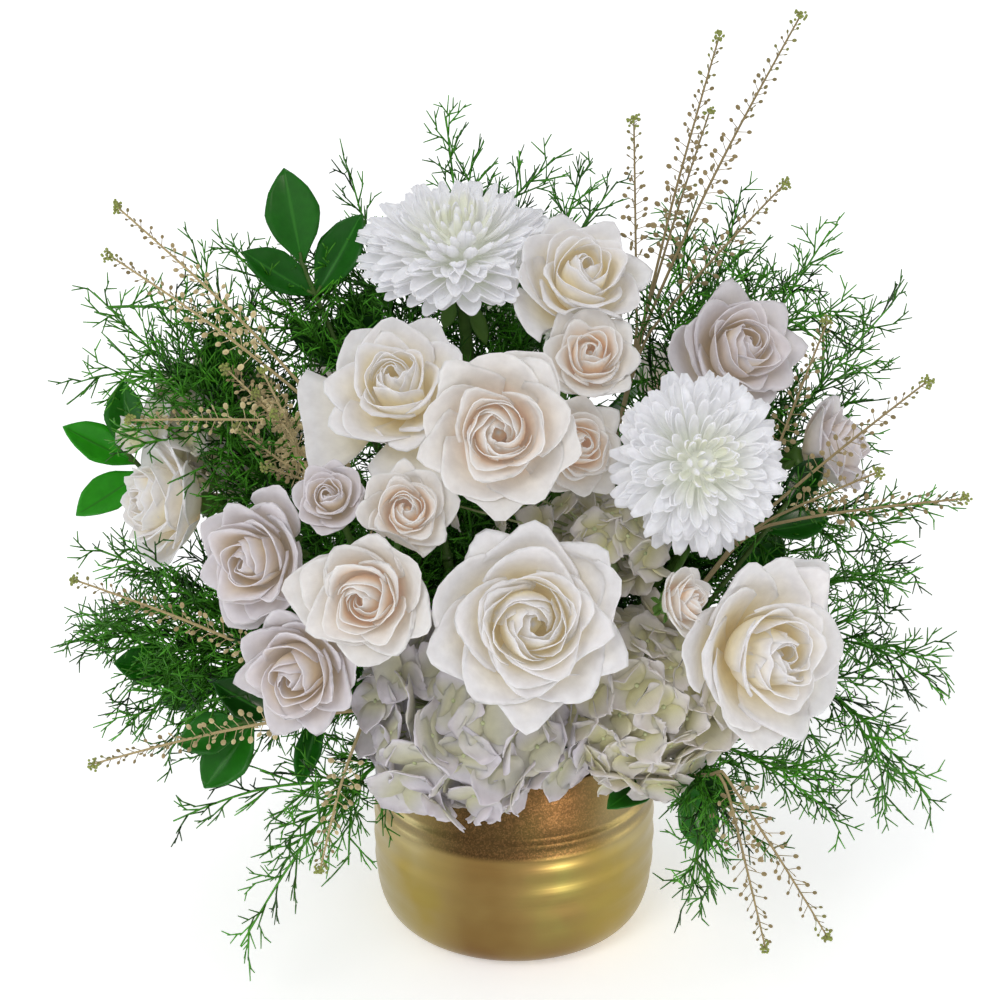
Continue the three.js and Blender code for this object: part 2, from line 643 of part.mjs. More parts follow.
function makeFoam() {
  const { top, shoulder, gap, radius, sides } = FOAM;
  const bottom = POT.floor + gap;
  const profile = [
    new THREE.Vector2(0, bottom), new THREE.Vector2(POT.foot - 6, bottom),
    new THREE.Vector2(radius - 3, bottom + 11), new THREE.Vector2(radius, top - shoulder),
    new THREE.Vector2(radius - shoulder, top), new THREE.Vector2(0, top),
  ];
  let foam = solid(turned(profile, sides));
  for (const hole of holes) {
    const size = (hole.radius + HOLE.gap) / Math.cos(Math.PI / HOLE.sides);
    const bit = new THREE.CylinderGeometry(size, size, HOLE.depth * 2, HOLE.sides, 1);
    bit.rotateX(Math.PI / 2).translate(hole.x, hole.y, top);
    foam = foam.subtract(solid(bit));
  }
  return join([foam]);
}

const origin = new THREE.Matrix4();
seat('pot', makePot(), 'gold', origin);
seat('floral_foam', makeFoam(), 'foam', origin);

// ---------------------------------------------------------------- stems as solids

/** Rings of corners round the points of a run, turned no more than the run bends. */
function ringsAlong(points, radii, sides) {
  const last = points.length - 1;
  const ahead = (i) => points[Math.min(i + 1, last)].clone().sub(points[Math.max(i - 1, 0)]).normalize();
  const first = ahead(0);
  let side = (Math.abs(first.z) > 0.9 ? vec(1, 0, 0) : UP).clone().cross(first).normalize();
  return points.map((centre, i) => {
    const along = ahead(i);
    side = side.clone().addScaledVector(along, -side.dot(along)).normalize();
    const over = along.clone().cross(side);
    return Array.from({ length: sides }, (_, k) => {
      const a = (k / sides) * Math.PI * 2;
      const corner = centre.clone().addScaledVector(side, radii[i] * Math.cos(a));
      return corner.addScaledVector(over, radii[i] * Math.sin(a));
    });
  });
}

/** A rod along points. */
function rod(points, radius, sides) {
  const growth = new Growth();
  const kept = thinned(points);
  const rings = ringsAlong(kept, kept.map(() => radius), sides).map((ring) => growth.add(ring));
  growth.cap([...rings[0]].reverse());
  for (let i = 0; i + 1 < rings.length; i++) growth.band(rings[i], rings[i + 1]);
  growth.cap(rings[rings.length - 1]);
  return growth.solid();
}

/** A small eight-sided knot where the runs of a plant part. */
function knot(run) {
  const { x, y, z } = run.points[0];
  return solid(new THREE.OctahedronGeometry(run.radius * STEM.knot, 0).translate(x, y, z));
}

/** The knots of a plant with more than one run. */
const knots = (runs) => (runs.length > 1 ? [knot(runs[1])] : []);

/** The part of a stem that stands in its hole. */
function footPoints(hole) {
  return [vec(hole.x, hole.y, FOAM.top - HOLE.depth + 2)];
}

/** The runs of a plant as rods, the first of them standing in its hole. */
function rods({ hole, runs }) {
  const reach = (run, i) => (i === 0 ? [...footPoints(hole), ...run.points] : run.points);
  return runs.map((run, i) => rod(reach(run, i), run.radius, STEM.sides));
}

/** The green cup that a rose or chrysanthemum sits in, just under it. */
function calyx(flower, stemRadius) {
  const top = footRadius(flower) * 1.05;
  const deep = Math.max(6, top * 1.1);
  const profile = [
    new THREE.Vector2(0, -deep), new THREE.Vector2(stemRadius * 0.9, -deep),
    new THREE.Vector2(top, -CLEAR.joint - 1), new THREE.Vector2(0, -CLEAR.joint),
  ];
  return solid(turned(profile, 4).applyMatrix4(flower.frame));
}

const footRadius = (flower) => flower.width * { rose: 0.09, spray: 0.1, mum: 0.1, hydrangea: 0.1 }[flower.kind];

for (const { node, points, radius } of strands) {
  reserved.push({ node, ...boxed(rod(points, radius + CLEAR.joint, 4)) });
}
for (const stem of FLOWER_STEMS) {
  const parts = [...rods(stem), ...knots(stem.runs)];
  for (const run of stem.runs) {
    if (run.flower) parts.push(calyx(run.flower, run.radius));
  }
  seat(stem.name, join(parts), 'stem', frameAt(holeTop(stem.hole), UP));
}

// ---------------------------------------------------------------- petals and leaves as blades

/**
 * A thin petal from a grid of points, rows from root to lip: thickest in the middle and thinning to its edge.
 * Both faces are split along the same diagonals, so they never cross.
 */
function petalBlade(grid, thick) {
  const rows = grid.length;
  const columns = grid[0].length;
  const corners = [];
  const front = grid.map((row) => row.map(() => 0));
  const back = grid.map((row) => row.map(() => 0));
  const inner = (r, c) => r > 0 && c > 0 && r < rows - 1 && c < columns - 1;
  for (let r = 0; r < rows; r++) {
    for (let c = 0; c < columns; c++) {
      const p = grid[r][c];
      if (!inner(r, c)) {
        front[r][c] = back[r][c] = corners.push(p) - 1;
        continue;
      }
      const along = grid[r + 1][c].clone().sub(grid[r - 1][c]);
      const across = grid[r][c + 1].clone().sub(grid[r][c - 1]);
      const normal = across.cross(along).normalize().multiplyScalar(thick / 2);
      front[r][c] = corners.push(p.clone().add(normal)) - 1;
      back[r][c] = corners.push(p.clone().sub(normal)) - 1;
    }
  }
  const faces = [];
  for (let r = 0; r + 1 < rows; r++) {
    for (let c = 0; c + 1 < columns; c++) {
      const rising = inner(r, c) || inner(r + 1, c + 1);
      for (const [side, turn] of [[front, false], [back, true]]) {
        const [a, b, d, e] = [side[r][c], side[r][c + 1], side[r + 1][c + 1], side[r + 1][c]];
        const pair = rising ? [[a, b, d], [a, d, e]] : [[a, b, e], [b, d, e]];
        faces.push(...(turn ? pair.map(([x, y, z]) => [x, z, y]) : pair));
      }
    }
  }
  return polyhedron(corners, faces);
}

/** A pointed blade: a root, rows of [left, middle, right] and a tip. */
function leafBlade(root, rows, tip, thick) {
  const corners = [root, tip];
  const rings = rows.map(([left, middle, right], i) => {
    const before = i === 0 ? root : rows[i - 1][1];
    const after = i === rows.length - 1 ? tip : rows[i + 1][1];
    const normal = right.clone().sub(left).cross(after.clone().sub(before));
    normal.normalize().multiplyScalar(thick / 2);
    return {
      left: corners.push(left) - 1, right: corners.push(right) - 1,
      front: corners.push(middle.clone().add(normal)) - 1, back: corners.push(middle.clone().sub(normal)) - 1,
    };
  });
  const faces = [];
  const round = [['left', 'front'], ['front', 'right'], ['right', 'back'], ['back', 'left']];
  const fan = (ring, end, flip) => {
    for (const [a, b] of round) faces.push(flip ? [ring[a], ring[b], end] : [ring[b], ring[a], end]);
  };
  fan(rings[0], 0, false);
  fan(rings[rings.length - 1], 1, true);
  for (let i = 0; i + 1 < rings.length; i++) {
    const [low, high] = [rings[i], rings[i + 1]];
    for (const [a, b] of round) faces.push([low[a], low[b], high[b]], [low[a], high[b], high[a]]);
  }
  return polyhedron(corners, faces);
}

// ---------------------------------------------------------------- roses

// Whorls from the heart out: how open each is, its number of petals and how far round each one reaches.
const ROSE_WHORLS = [
  { open: 0.12, petals: 2, wrap: 84 }, { open: 0.48, petals: 3, wrap: 64 }, { open: 0.92, petals: 5, wrap: 43 },
];
const SPRAY_WHORLS = [{ open: 0.3, petals: 3, wrap: 64 }, { open: 0.86, petals: 4, wrap: 52 }];
const GUARD = { open: 1.3, wrap: 40 };

/** A point of a rose petal in the flower's own frame: u runs across from -1 to 1, v from root to lip. */
function rosePetalPoint(flower, open, wrap, turn, u, v) {
  const { width, height } = flower;
  const root = [width * 0.06, height * 0.05];
  const bend = [mix(0.25, 0.4, open) * width, mix(0.5, 0.16, open) * height];
  const lip = [mix(0.1, 0.55, open) * width, mix(0.98, 0.62, open ** 1.3) * height];
  const rounded = v - 0.16 * v * Math.max(0, Math.abs(u) - 0.4) / 0.6;
  const w = 1 - rounded;
  const radius = w * w * root[0] + 2 * w * rounded * bend[0] + rounded * rounded * lip[0];
  const z = w * w * root[1] + 2 * w * rounded * bend[1] + rounded * rounded * lip[1];
  const spread = radians(wrap) * (0.5 + 0.5 * Math.sin(Math.min(v / 0.55, 1) * Math.PI / 2));
  const a = turn + u * spread;
  const tucked = radius + PETAL.tuck * (width / 86) * u * Math.min(1, v * 2.5);
  return vec(tucked * Math.cos(a), tucked * Math.sin(a), z);
}

/** One petal of a rose, bent clear of the flowers in front. */
function rosePetal(flower, open, wrap, turn) {
  const grid = [];
  for (let r = 0; r < PETAL.rows; r++) {
    grid.push([]);
    for (let c = 0; c < PETAL.columns; c++) {
      const u = (c / (PETAL.columns - 1)) * 2 - 1;
      const p = rosePetalPoint(flower, open, wrap, turn, u, r / (PETAL.rows - 1)).applyMatrix4(flower.frame);
      grid[r].push(r === 0 ? p : bendClear(p, flower));
    }
  }
  return petalBlade(grid, PETAL.thick);
}

function makeRose(flower, whorls) {
  const { width, height } = flower;
  const heart = [
    new THREE.Vector2(0, 0), new THREE.Vector2(footRadius(flower), 0),
    new THREE.Vector2(width * 0.13, height * 0.45), new THREE.Vector2(0, height * 0.86),
  ];
  const parts = [solid(turned(heart, 5).applyMatrix4(flower.frame))];
  const random = randomStream(flower.rank + 11);
  for (const [k, { open, petals, wrap }] of whorls.entries()) {
    const start = random() * Math.PI * 2 + k;
    for (let i = 0; i < petals; i++) {
      parts.push(rosePetal(flower, open + (random() - 0.5) * 0.1, wrap, start + (i / petals) * Math.PI * 2));
    }
  }
  for (const bearing of flower.guards ?? []) parts.push(rosePetal(flower, GUARD.open, GUARD.wrap, radians(bearing)));
  return growAll(flower.name, parts);
}

/** Joins a node's parts to its first one, leaving out any that would cross what is in place. */
function growAll(node, [base, ...rest]) {
  return join([base, ...rest.filter((piece) => !blocked(node, piece))]);
}

// ---------------------------------------------------------------- chrysanthemums

// Rows of petals from the lowest up: how far each row leans up from level.
const MUM_LIFTS = [-12, 14, 40, 64];

/** A half-open flower head whose dome bears a long petal on every face. */
function makeMum(flower) {
  const { width, height, frame } = flower;
  const growth = new Growth();
  const random = randomStream(flower.rank + 41);
  const middle = vec(0, 0, height * 0.42);
  const { columns } = RAY;
  const bearing = (column, row) => ((column + row * 0.5) / columns) * Math.PI * 2;
  const levels = [0, 0.12, 0.32, 0.5, 0.66].map((z) => z * height);
  const radii = [footRadius(flower) * 1.6, width * 0.17, width * 0.19, width * 0.16, width * 0.09];
  const rings = radii.map((radius, row) => growth.add(Array.from({ length: columns }, (_, i) => {
    const a = bearing(i, row);
    return vec(radius * Math.cos(a), radius * Math.sin(a), levels[row]).applyMatrix4(frame);
  })));
  growth.cap([...rings[0]].reverse());
  for (const [row, lift] of MUM_LIFTS.entries()) {
    for (let i = 0; i < columns; i++) {
      const n = (i + 1) % columns;
      const face = [rings[row][i], rings[row][n], rings[row + 1][n], rings[row + 1][i]];
      const a = bearing(i + 0.75, row);
      const e = radians(lift + (random() - 0.5) * 8);
      const out = vec(Math.cos(a) * Math.cos(e), Math.sin(a) * Math.cos(e), Math.sin(e));
      const roomAcross = 0.74 * Math.cos(e) * (width / 2) * Math.sin(Math.PI / columns) * 0.75;
      const across = vec(-Math.sin(a), Math.cos(a), 0).multiplyScalar(Math.min(RAY.width / 2, roomAcross));
      const over = out.clone().cross(across).normalize().multiplyScalar(-RAY.thick / 2);
      const reach = 0.94 + random() * 0.06;
      const tip = vec(out.x * width / 2, out.y * width / 2, out.z * (out.z > 0 ? height - middle.z : middle.z))
        .multiplyScalar(reach).add(middle);
      const wide = middle.clone().lerp(tip, 0.74).addScaledVector(over, 1.2);
      const ring = [[-1, 1], [1, 1], [1, -1], [-1, -1]].map(([u, v]) => (
        wide.clone().addScaledVector(across, u).addScaledVector(over, v).applyMatrix4(frame)
      ));
      tip.applyMatrix4(frame);
      const base = face.map((k) => growth.corners[k]);
      const shortened = [1, 0.82, 0.64].map((share) => ({
        ring: ring.map((p) => average(base.map((q) => q.clone())).lerp(p, share)),
        tip: average(base.map((q) => q.clone())).lerp(tip, share),
      }));
      const grown = shortened.find((petal) => hasRoom(flower.name, base, [petal.ring], petal.tip));
      if (grown) growth.drawOut(face, [grown.ring], grown.tip);
      else growth.cap(face);
    }
  }
  growth.cone(rings[rings.length - 1], growth.add([vec(0, 0, height * 0.8).applyMatrix4(frame)])[0]);
  return growth.solid();
}

// ---------------------------------------------------------------- hydrangeas

/** The faces of a twenty-sided ball of radius 1, one of them facing straight down. */
function ballFaces() {
  const ball = indexed(new THREE.IcosahedronGeometry(1, 0));
  const corners = Array.from({ length: ball.attributes.position.count }, (_, i) => (
    new THREE.Vector3().fromBufferAttribute(ball.attributes.position, i)
  ));
  const faces = Array.from({ length: 20 }, (_, i) => Array.from(ball.index.array.slice(3 * i, 3 * i + 3)));
  const lowest = average(faces[0].map((i) => corners[i].clone())).normalize();
  const turn = new THREE.Quaternion().setFromUnitVectors(lowest, vec(0, 0, -1));
  return { corners: corners.map((p) => p.applyQuaternion(turn)), faces };
}

/** The four-lobed outline of a floret that faces outward, starting at a bearing. Small ones are plainer. */
function floretRing(centre, outward, start, size) {
  const across = start.clone().addScaledVector(outward, -start.dot(outward)).normalize();
  const over = outward.clone().cross(across);
  const at = (a, r, lift) => centre.clone().addScaledVector(across, r * Math.cos(a))
    .addScaledVector(over, r * Math.sin(a)).addScaledVector(outward, lift);
  const spread = size < FLORET.plainSize ? [0] : [-FLORET.lobeHalfAngle, FLORET.lobeHalfAngle];
  return Array.from({ length: 4 }, (_, lobe) => (lobe / 4) * Math.PI * 2).flatMap((a) => [
    ...spread.map((aside) => at(a + aside, size, size * FLORET.rim)),
    at(a + Math.PI / 4, size * FLORET.notch, 0),
  ]);
}

/** A round head whose small core bears a floret on every face but one, which its stem grows from. */
function makeHydrangea(flower) {
  const radius = flower.width / 2;
  const size = flower.width * FLORET.span / 2;
  const growth = new Growth();
  const run = outsideCore(flower);
  const centred = frameAt(flower.middle, flower.middle.clone().sub(run[0]));
  const { corners, faces } = ballFaces();
  growth.add(corners.map((p) => p.clone().multiplyScalar(radius * FLORET.core).applyMatrix4(centred)));
  const stem = boxed(rod([...footPoints(flower.hole), ...flower.run.points], STEM.hydrangea + CLEAR.joint, 5));
  for (const [k, face] of faces.entries()) {
    const base = face.map((i) => growth.corners[i]);
    const foot = average(base.map((p) => p.clone()));
    const outward = foot.clone().sub(flower.middle).normalize();
    if (k === 0) {
      growStem(growth, face, flower, run);
      continue;
    }
    const centre = flower.middle.clone().addScaledVector(outward, radius - size * FLORET.rim);
    const start = base[0].clone().sub(foot);
    const ring = floretRing(centre, outward, start, size);
    const eye = centre.clone().addScaledVector(outward, -size * FLORET.cup);
    const low = centre.clone().lerp(foot, 0.5);
    const pulled = (p, pull) => p.clone().lerp(low, pull);
    const grown = [0, 0.3, 0.55].map((pull) => [ring.map((p) => pulled(p, pull)), pulled(eye, pull)])
      .find(([outline, middle]) => hasRoom(flower.name, base, [outline], middle, [stem]));
    if (grown) growth.drawOut(face, [grown[0]], grown[1]);
    else growth.cap(face);
  }
  return growth.solid();
}

/** The points of a head's stem from its core outward, back along its run and down its hole. */
function outsideCore(flower) {
  const points = thinned([...footPoints(flower.hole), ...flower.run.points], CLEAR.bend / 2).reverse();
  return points.filter((p) => p.distanceTo(flower.middle) > (flower.width / 2) * FLORET.core * 1.1);
}

/** Draws a head's stem out of a face of its core. */
function growStem(growth, face, flower, run) {
  const rings = ringsAlong([flower.middle, ...run], [1, ...run.map(() => STEM.hydrangea)], 3).slice(1);
  const start = growth.corners[face[0]].clone().sub(flower.middle);
  const turns = rings[0].map((p) => p.clone().sub(run[0]).normalize().dot(start));
  const first = turns.indexOf(Math.max(...turns));
  let low = face;
  for (const ring of rings) {
    const high = growth.add([0, 1, 2].map((i) => ring[(i + first) % 3]));
    growth.band(low, high);
    low = high;
  }
  growth.cap(low);
}

for (const flower of FLOWERS) {
  const make = {
    rose: () => makeRose(flower, ROSE_WHORLS), spray: () => makeRose(flower, SPRAY_WHORLS),
    mum: () => makeMum(flower), hydrangea: () => makeHydrangea(flower),
  }[flower.kind];
  seat(flower.name, make(), flower.colour, flower.frame);
}

// ---------------------------------------------------------------- sprigs: stems that bear twigs or pods

/** A smooth line along a run, read by its distance from the start. */
function rail(points) {
  const curve = new THREE.CatmullRomCurve3(points, false, 'centripetal');
  const length = curve.getLength();
  return { length, at: (distance) => curve.getPointAt(THREE.MathUtils.clamp(distance / length, 0, 1)) };
}

/** Where a sprig has its rings: at plain steps, and at both ends of the collar of each stop. */
function sprigMarks(line, stops) {
  const marks = [{ distance: 0 }];
  const last = () => marks[marks.length - 1].distance;
  const stepUpTo = (end) => {
    while (last() + SPRIG.step * 1.5 < end) marks.push({ distance: last() + SPRIG.step });
  };
  for (const stop of stops) {
    stepUpTo(stop.distance);
    marks.push({ distance: stop.distance, stop }, { distance: stop.distance + stop.collar });
  }
  stepUpTo(line.length);
  return marks.map((mark) => ({ ...mark, point: line.at(mark.distance) }));
}

/**
 * A three-sided stem along points, tapering to its tip, on any points that lead to it. At each stop a
 * short collar bears one twig or pod on each of its three sides, drawn out of the collar's own face.
 */
function sprig(lead, points, radius, stops, bear) {
  const line = rail(points);
  const marks = [...lead.map((p) => ({ distance: 0, point: p })), ...sprigMarks(line, stops(line.length))];
  const radii = marks.map(({ distance }) => radius * mix(1, SPRIG.taper, distance / line.length));
  const growth = new Growth();
  const rings = ringsAlong(marks.map((mark) => mark.point), radii, 3).map((ring) => growth.add(ring));
  growth.cap([...rings[0]].reverse());
  for (let i = 0; i + 1 < rings.length; i++) {
    const [low, high] = [rings[i], rings[i + 1]];
    const { stop } = marks[i];
    if (!stop) {
      growth.band(low, high);
      continue;
    }
    const centre = marks[i].point.clone().lerp(marks[i + 1].point, 0.5);
    const along = marks[i + 1].point.clone().sub(marks[i].point).normalize();
    for (let k = 0; k < 3; k++) {
      const n = (k + 1) % 3;
      const face = [low[k], low[n], high[n], high[k]];
      const base = face.map((j) => growth.corners[j]);
      const outward = average(base.map((p) => p.clone())).sub(centre).normalize();
      const grown = bear(stop, base, outward, along);
      if (grown) growth.drawOut(face, grown.rings, grown.tip);
      else growth.cap(face);
    }
  }
  growth.cone(rings[rings.length - 1], growth.add([line.at(line.length)])[0]);
  return growth.solid();
}

/** A plain twig: a slim four-sided spike out of its base. */
function twig(base, outward, along, length) {
  const direction = outward.clone().multiplyScalar(TWIG.lean).addScaledVector(along, Math.sqrt(1 - TWIG.lean ** 2));
  return { rings: [], tip: average(base.map((p) => p.clone())).addScaledVector(direction, length) };
}

/** A flat seed pod on a tapering stalk. */
function pod(base, outward, along, size) {
  const direction = outward.clone().multiplyScalar(0.9).addScaledVector(along, 0.45).normalize();
  const centre = average(base.map((p) => p.clone())).addScaledVector(direction, POD.stalk * size);
  const across = base[1].clone().sub(base[0]).normalize();
  const over = direction.clone().cross(across).normalize();
  const [w, t] = [POD.width * size / 2, POD.thick * size / 2];
  const ring = [[-1, -1], [1, -1], [0, 1]].map(([u, v]) => (
    centre.clone().addScaledVector(across, u * w).addScaledVector(over, v * t)
  ));
  return { rings: [ring], tip: centre.clone().addScaledVector(direction, w) };
}

/** Stops along a run, from a share of its length to its tip. */
function stopsEvery(spacing, collar, from, edge) {
  return (length) => {
    const found = [];
    const first = length * from;
    const count = Math.floor((length - edge - first) / spacing);
    for (let i = 0; i <= count; i++) {
      found.push({ distance: first + i * spacing, collar, share: count ? i / count : 1, index: i });
    }
    return found;
  };
}

/** A leaf from a shoot to a tip, its upper side turned as far as it can to face a direction. */
function leaf(root, tip, width, faces) {
  const along = tip.clone().sub(root);
  const across = along.clone().cross(point(faces)).normalize();
  const rise = across.clone().cross(along).normalize();
  const spot = (t, u, lift) => root.clone().addScaledVector(along, t)
    .addScaledVector(across, u * width / 2).addScaledVector(rise, lift);
  const rows = [[0.3, 0.72], [0.55, 1], [0.8, 0.66]].map(([t, u]) => (
    [spot(t, -u, LEAF.curl * u), spot(t, 0, -LEAF.curl * 0.6 * Math.sin(t * Math.PI)), spot(t, u, LEAF.curl * u)]
  ));
  return leafBlade(root, rows, spot(1, 0, 0), LEAF.thick);
}

for (const plant of LEAFY) {
  const leaves = plant.shoots.flatMap((shoot, i) => shoot.leaves.map(([share, tip, width]) => {
    const line = rail(plant.runs[i].points);
    const root = line.at(line.length * share - 1);
    const leafOf = (size) => leaf(root, root.clone().lerp(point(tip), size), width * size, plant.faces);
    const sizes = [1, 0.85, 0.7].map(leafOf);
    return sizes.find((piece) => !blocked(plant.name, piece)) ?? sizes[0];
  }));
  const shoots = join([...rods(plant), ...knots(plant.runs)]);
  seat(plant.name, growAll(plant.name, [shoots, ...leaves]), 'leaf', frameAt(holeTop(plant.hole), UP));
}

/** Grows one plant's sprigs, each of whose twigs or pods keeps clear of the rest of the plant. */
function growPlant(plant, runs, base, stops, bearing) {
  const own = plant.runs.map((run) => boxed(rod(run.points, run.radius, 3)));
  const parts = [...base, ...knots(plant.runs)];
  for (const [i, run] of runs.entries()) {
    const bear = (stop, face, outward, along) => {
      for (const grown of bearing(stop, face, outward, along)) {
        if (!hasRoom(plant.name, face, grown.rings, grown.tip, own)) continue;
        own.push(boxed(offshoot(face, grown.rings, grown.tip, 0.8)));
        return grown;
      }
      return null;
    };
    const lead = base.length === 0 && i === 0 ? footPoints(plant.hole) : [];
    parts.push(sprig(lead, run.points, run.radius, stops(run, i), bear));
  }
  seat(plant.name, join(parts), plant.colour, frameAt(holeTop(plant.hole), UP));
}

for (const cress of CRESSES) {
  const [main, ...spikes] = cress.runs;
  const stalk = rod([...footPoints(cress.hole), ...main.points], main.radius, 3);
  growPlant({ ...cress, colour: 'straw' }, spikes, [stalk], () => stopsEvery(POD.spacing, POD.node, POD.from, 4), (
    ({ share }, face, outward, along) => [pod(face, outward, along, mix(1.1, 0.75, share))]
  ));
}

for (const fern of FERNS) {
  const random = randomStream(Math.round(fern.hole.x * 100));
  growPlant({ ...fern, colour: 'fern' }, fern.runs, [], (run, i) => (
    stopsEvery(TWIG.spacing, TWIG.node, i === 0 ? TWIG.from : TWIG.forkFrom, 6)
  ), ({ share }, face, outward, along) => {
    const length = TWIG.length * mix(1, 0.36, share) * mix(0.85, 1.1, random());
    return [length, length * 0.6].map((reach) => twig(face, outward, along, reach));
  });
}

export default centerpiece;
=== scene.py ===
"""Floral table centerpiece: the fine flowers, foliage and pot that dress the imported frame.

Sizes are in millimetres and angles in degrees, as a florist and a potter would measure them; every
finished mesh is in metres. A bloom, frond, shoot or seed spray stands for the node of its own name.
"""

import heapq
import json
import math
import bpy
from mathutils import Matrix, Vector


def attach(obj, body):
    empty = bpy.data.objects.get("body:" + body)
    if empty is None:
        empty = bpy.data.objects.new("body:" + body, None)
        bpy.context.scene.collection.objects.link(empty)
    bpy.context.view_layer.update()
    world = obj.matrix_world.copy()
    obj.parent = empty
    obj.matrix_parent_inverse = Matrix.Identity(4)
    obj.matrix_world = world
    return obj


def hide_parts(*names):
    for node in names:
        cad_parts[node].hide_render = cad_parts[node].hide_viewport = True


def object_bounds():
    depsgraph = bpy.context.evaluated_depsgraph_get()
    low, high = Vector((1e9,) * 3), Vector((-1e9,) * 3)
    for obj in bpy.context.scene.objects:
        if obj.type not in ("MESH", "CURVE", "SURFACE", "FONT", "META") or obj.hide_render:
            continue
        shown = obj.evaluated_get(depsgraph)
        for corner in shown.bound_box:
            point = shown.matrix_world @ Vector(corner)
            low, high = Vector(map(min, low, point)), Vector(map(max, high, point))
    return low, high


bl_info = {
    "name": "Floral Table Centerpiece",
    "version": (1, 0, 0),
    "blender": (4, 5, 0),
    "location": "View3D > Sidebar > Centerpiece",
    "description": "White roses, chrysanthemums and hydrangeas with fern and seed sprays in a gold pot",
    "category": "Add Mesh",
}

import bmesh
import bpy
import numpy as np
from bpy.props import FloatProperty, FloatVectorProperty, IntProperty, PointerProperty
from mathutils import Vector

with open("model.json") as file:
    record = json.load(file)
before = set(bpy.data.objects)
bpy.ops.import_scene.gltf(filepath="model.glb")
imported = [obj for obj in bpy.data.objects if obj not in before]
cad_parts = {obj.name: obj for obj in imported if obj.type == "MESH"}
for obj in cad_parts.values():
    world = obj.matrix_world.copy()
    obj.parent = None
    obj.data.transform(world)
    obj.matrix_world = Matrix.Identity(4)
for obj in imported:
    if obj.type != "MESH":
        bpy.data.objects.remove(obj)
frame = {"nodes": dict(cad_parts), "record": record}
CAD_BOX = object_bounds()

MM = 0.001
GOLDEN = math.radians(137.508)
UP = np.array([0.0, 0.0, 1.0])

# Each bloom: its middle, the way it faces (degrees right of the front, degrees above level), its width
# and its tone. The nearest come first: a later one's petals give way to those of an earlier one.
BLOOMS = [
    ("rose_front", "rose", (6, -120, 217), (6, 20), 86, "ivory"),
    ("spray_rose_mid", "spray", (-66, -118, 228), (-12, 14), 60, "peach"),
    ("rose_right", "rose", (116, -97, 191), (34, 16), 82, "ivory"),
    ("rose_centre", "rose", (-8, -98, 299), (0, 20), 68, "peach"),
    ("spray_rose_low", "spray", (-99, -105, 185), (-18, 4), 60, "pearl"),
    ("spray_rose_left", "spray", (-119, -85, 232), (-28, 12), 58, "pearl"),
    ("mum_right", "mum", (84, -66, 272), (14, 22), 90, "snow"),
    ("rose_upper_left", "rose", (-54, -55, 306), (-12, 48), 66, "ivory"),
    ("spray_rose_small", "spray", (-49, -100, 262), (4, 30), 44, "peach"),
    ("spray_rose_bud", "spray", (-84, -88, 264), (-12, 40), 34, "pearl"),
    ("rose_bud_right", "spray", (77, -102, 219), (54, 26), 33, "peach"),
    ("spray_rose_behind", "spray", (28, -62, 279), (22, 22), 47, "peach"),
    ("spray_rose_upper", "spray", (34, -42, 316), (6, 40), 47, "peach"),
    ("spray_rose_top", "spray", (31, -14, 346), (18, 48), 62, "ivory"),
    ("spray_rose_right", "spray", (107, -8, 309), (26, 32), 62, "pearl"),
    ("mum_top", "mum", (-27, 12, 354), (-4, 56), 102, "snow"),
    ("rose_left", "rose", (-170, -22, 236), (-62, 12), 64, "ivory"),
    ("spray_rose_far_right", "spray", (156, -4, 258), (72, 22), 52, "pearl"),
    ("rose_back_left", "rose", (-78, 92, 262), (-150, 22), 70, "ivory"),
    ("rose_back_right", "rose", (92, 92, 250), (146, 20), 68, "peach"),
    ("mum_back", "mum", (6, 104, 300), (176, 32), 84, "snow"),
    ("hydrangea_front", "hydrangea", (-24, -78, 151), (-10, 0), 96, "lilac"),
    ("hydrangea_right", "hydrangea", (60, -68, 154), (20, 0), 84, "cream"),
    ("hydrangea_centre", "hydrangea", (44, -54, 228), (20, 30), 48, "cream"),
    ("hydrangea_left", "hydrangea", (-150, 34, 252), (-70, 20), 70, "cream"),
    ("hydrangea_back", "hydrangea", (0, 86, 190), (180, 0), 100, "cream"),
]
HEIGHT_SHARE = {"rose": 0.6, "spray": 0.66, "mum": 0.5, "hydrangea": 1.0}
MIDDLE_SHARE = {"rose": 0.52, "spray": 0.52, "mum": 0.46, "hydrangea": 0.5}

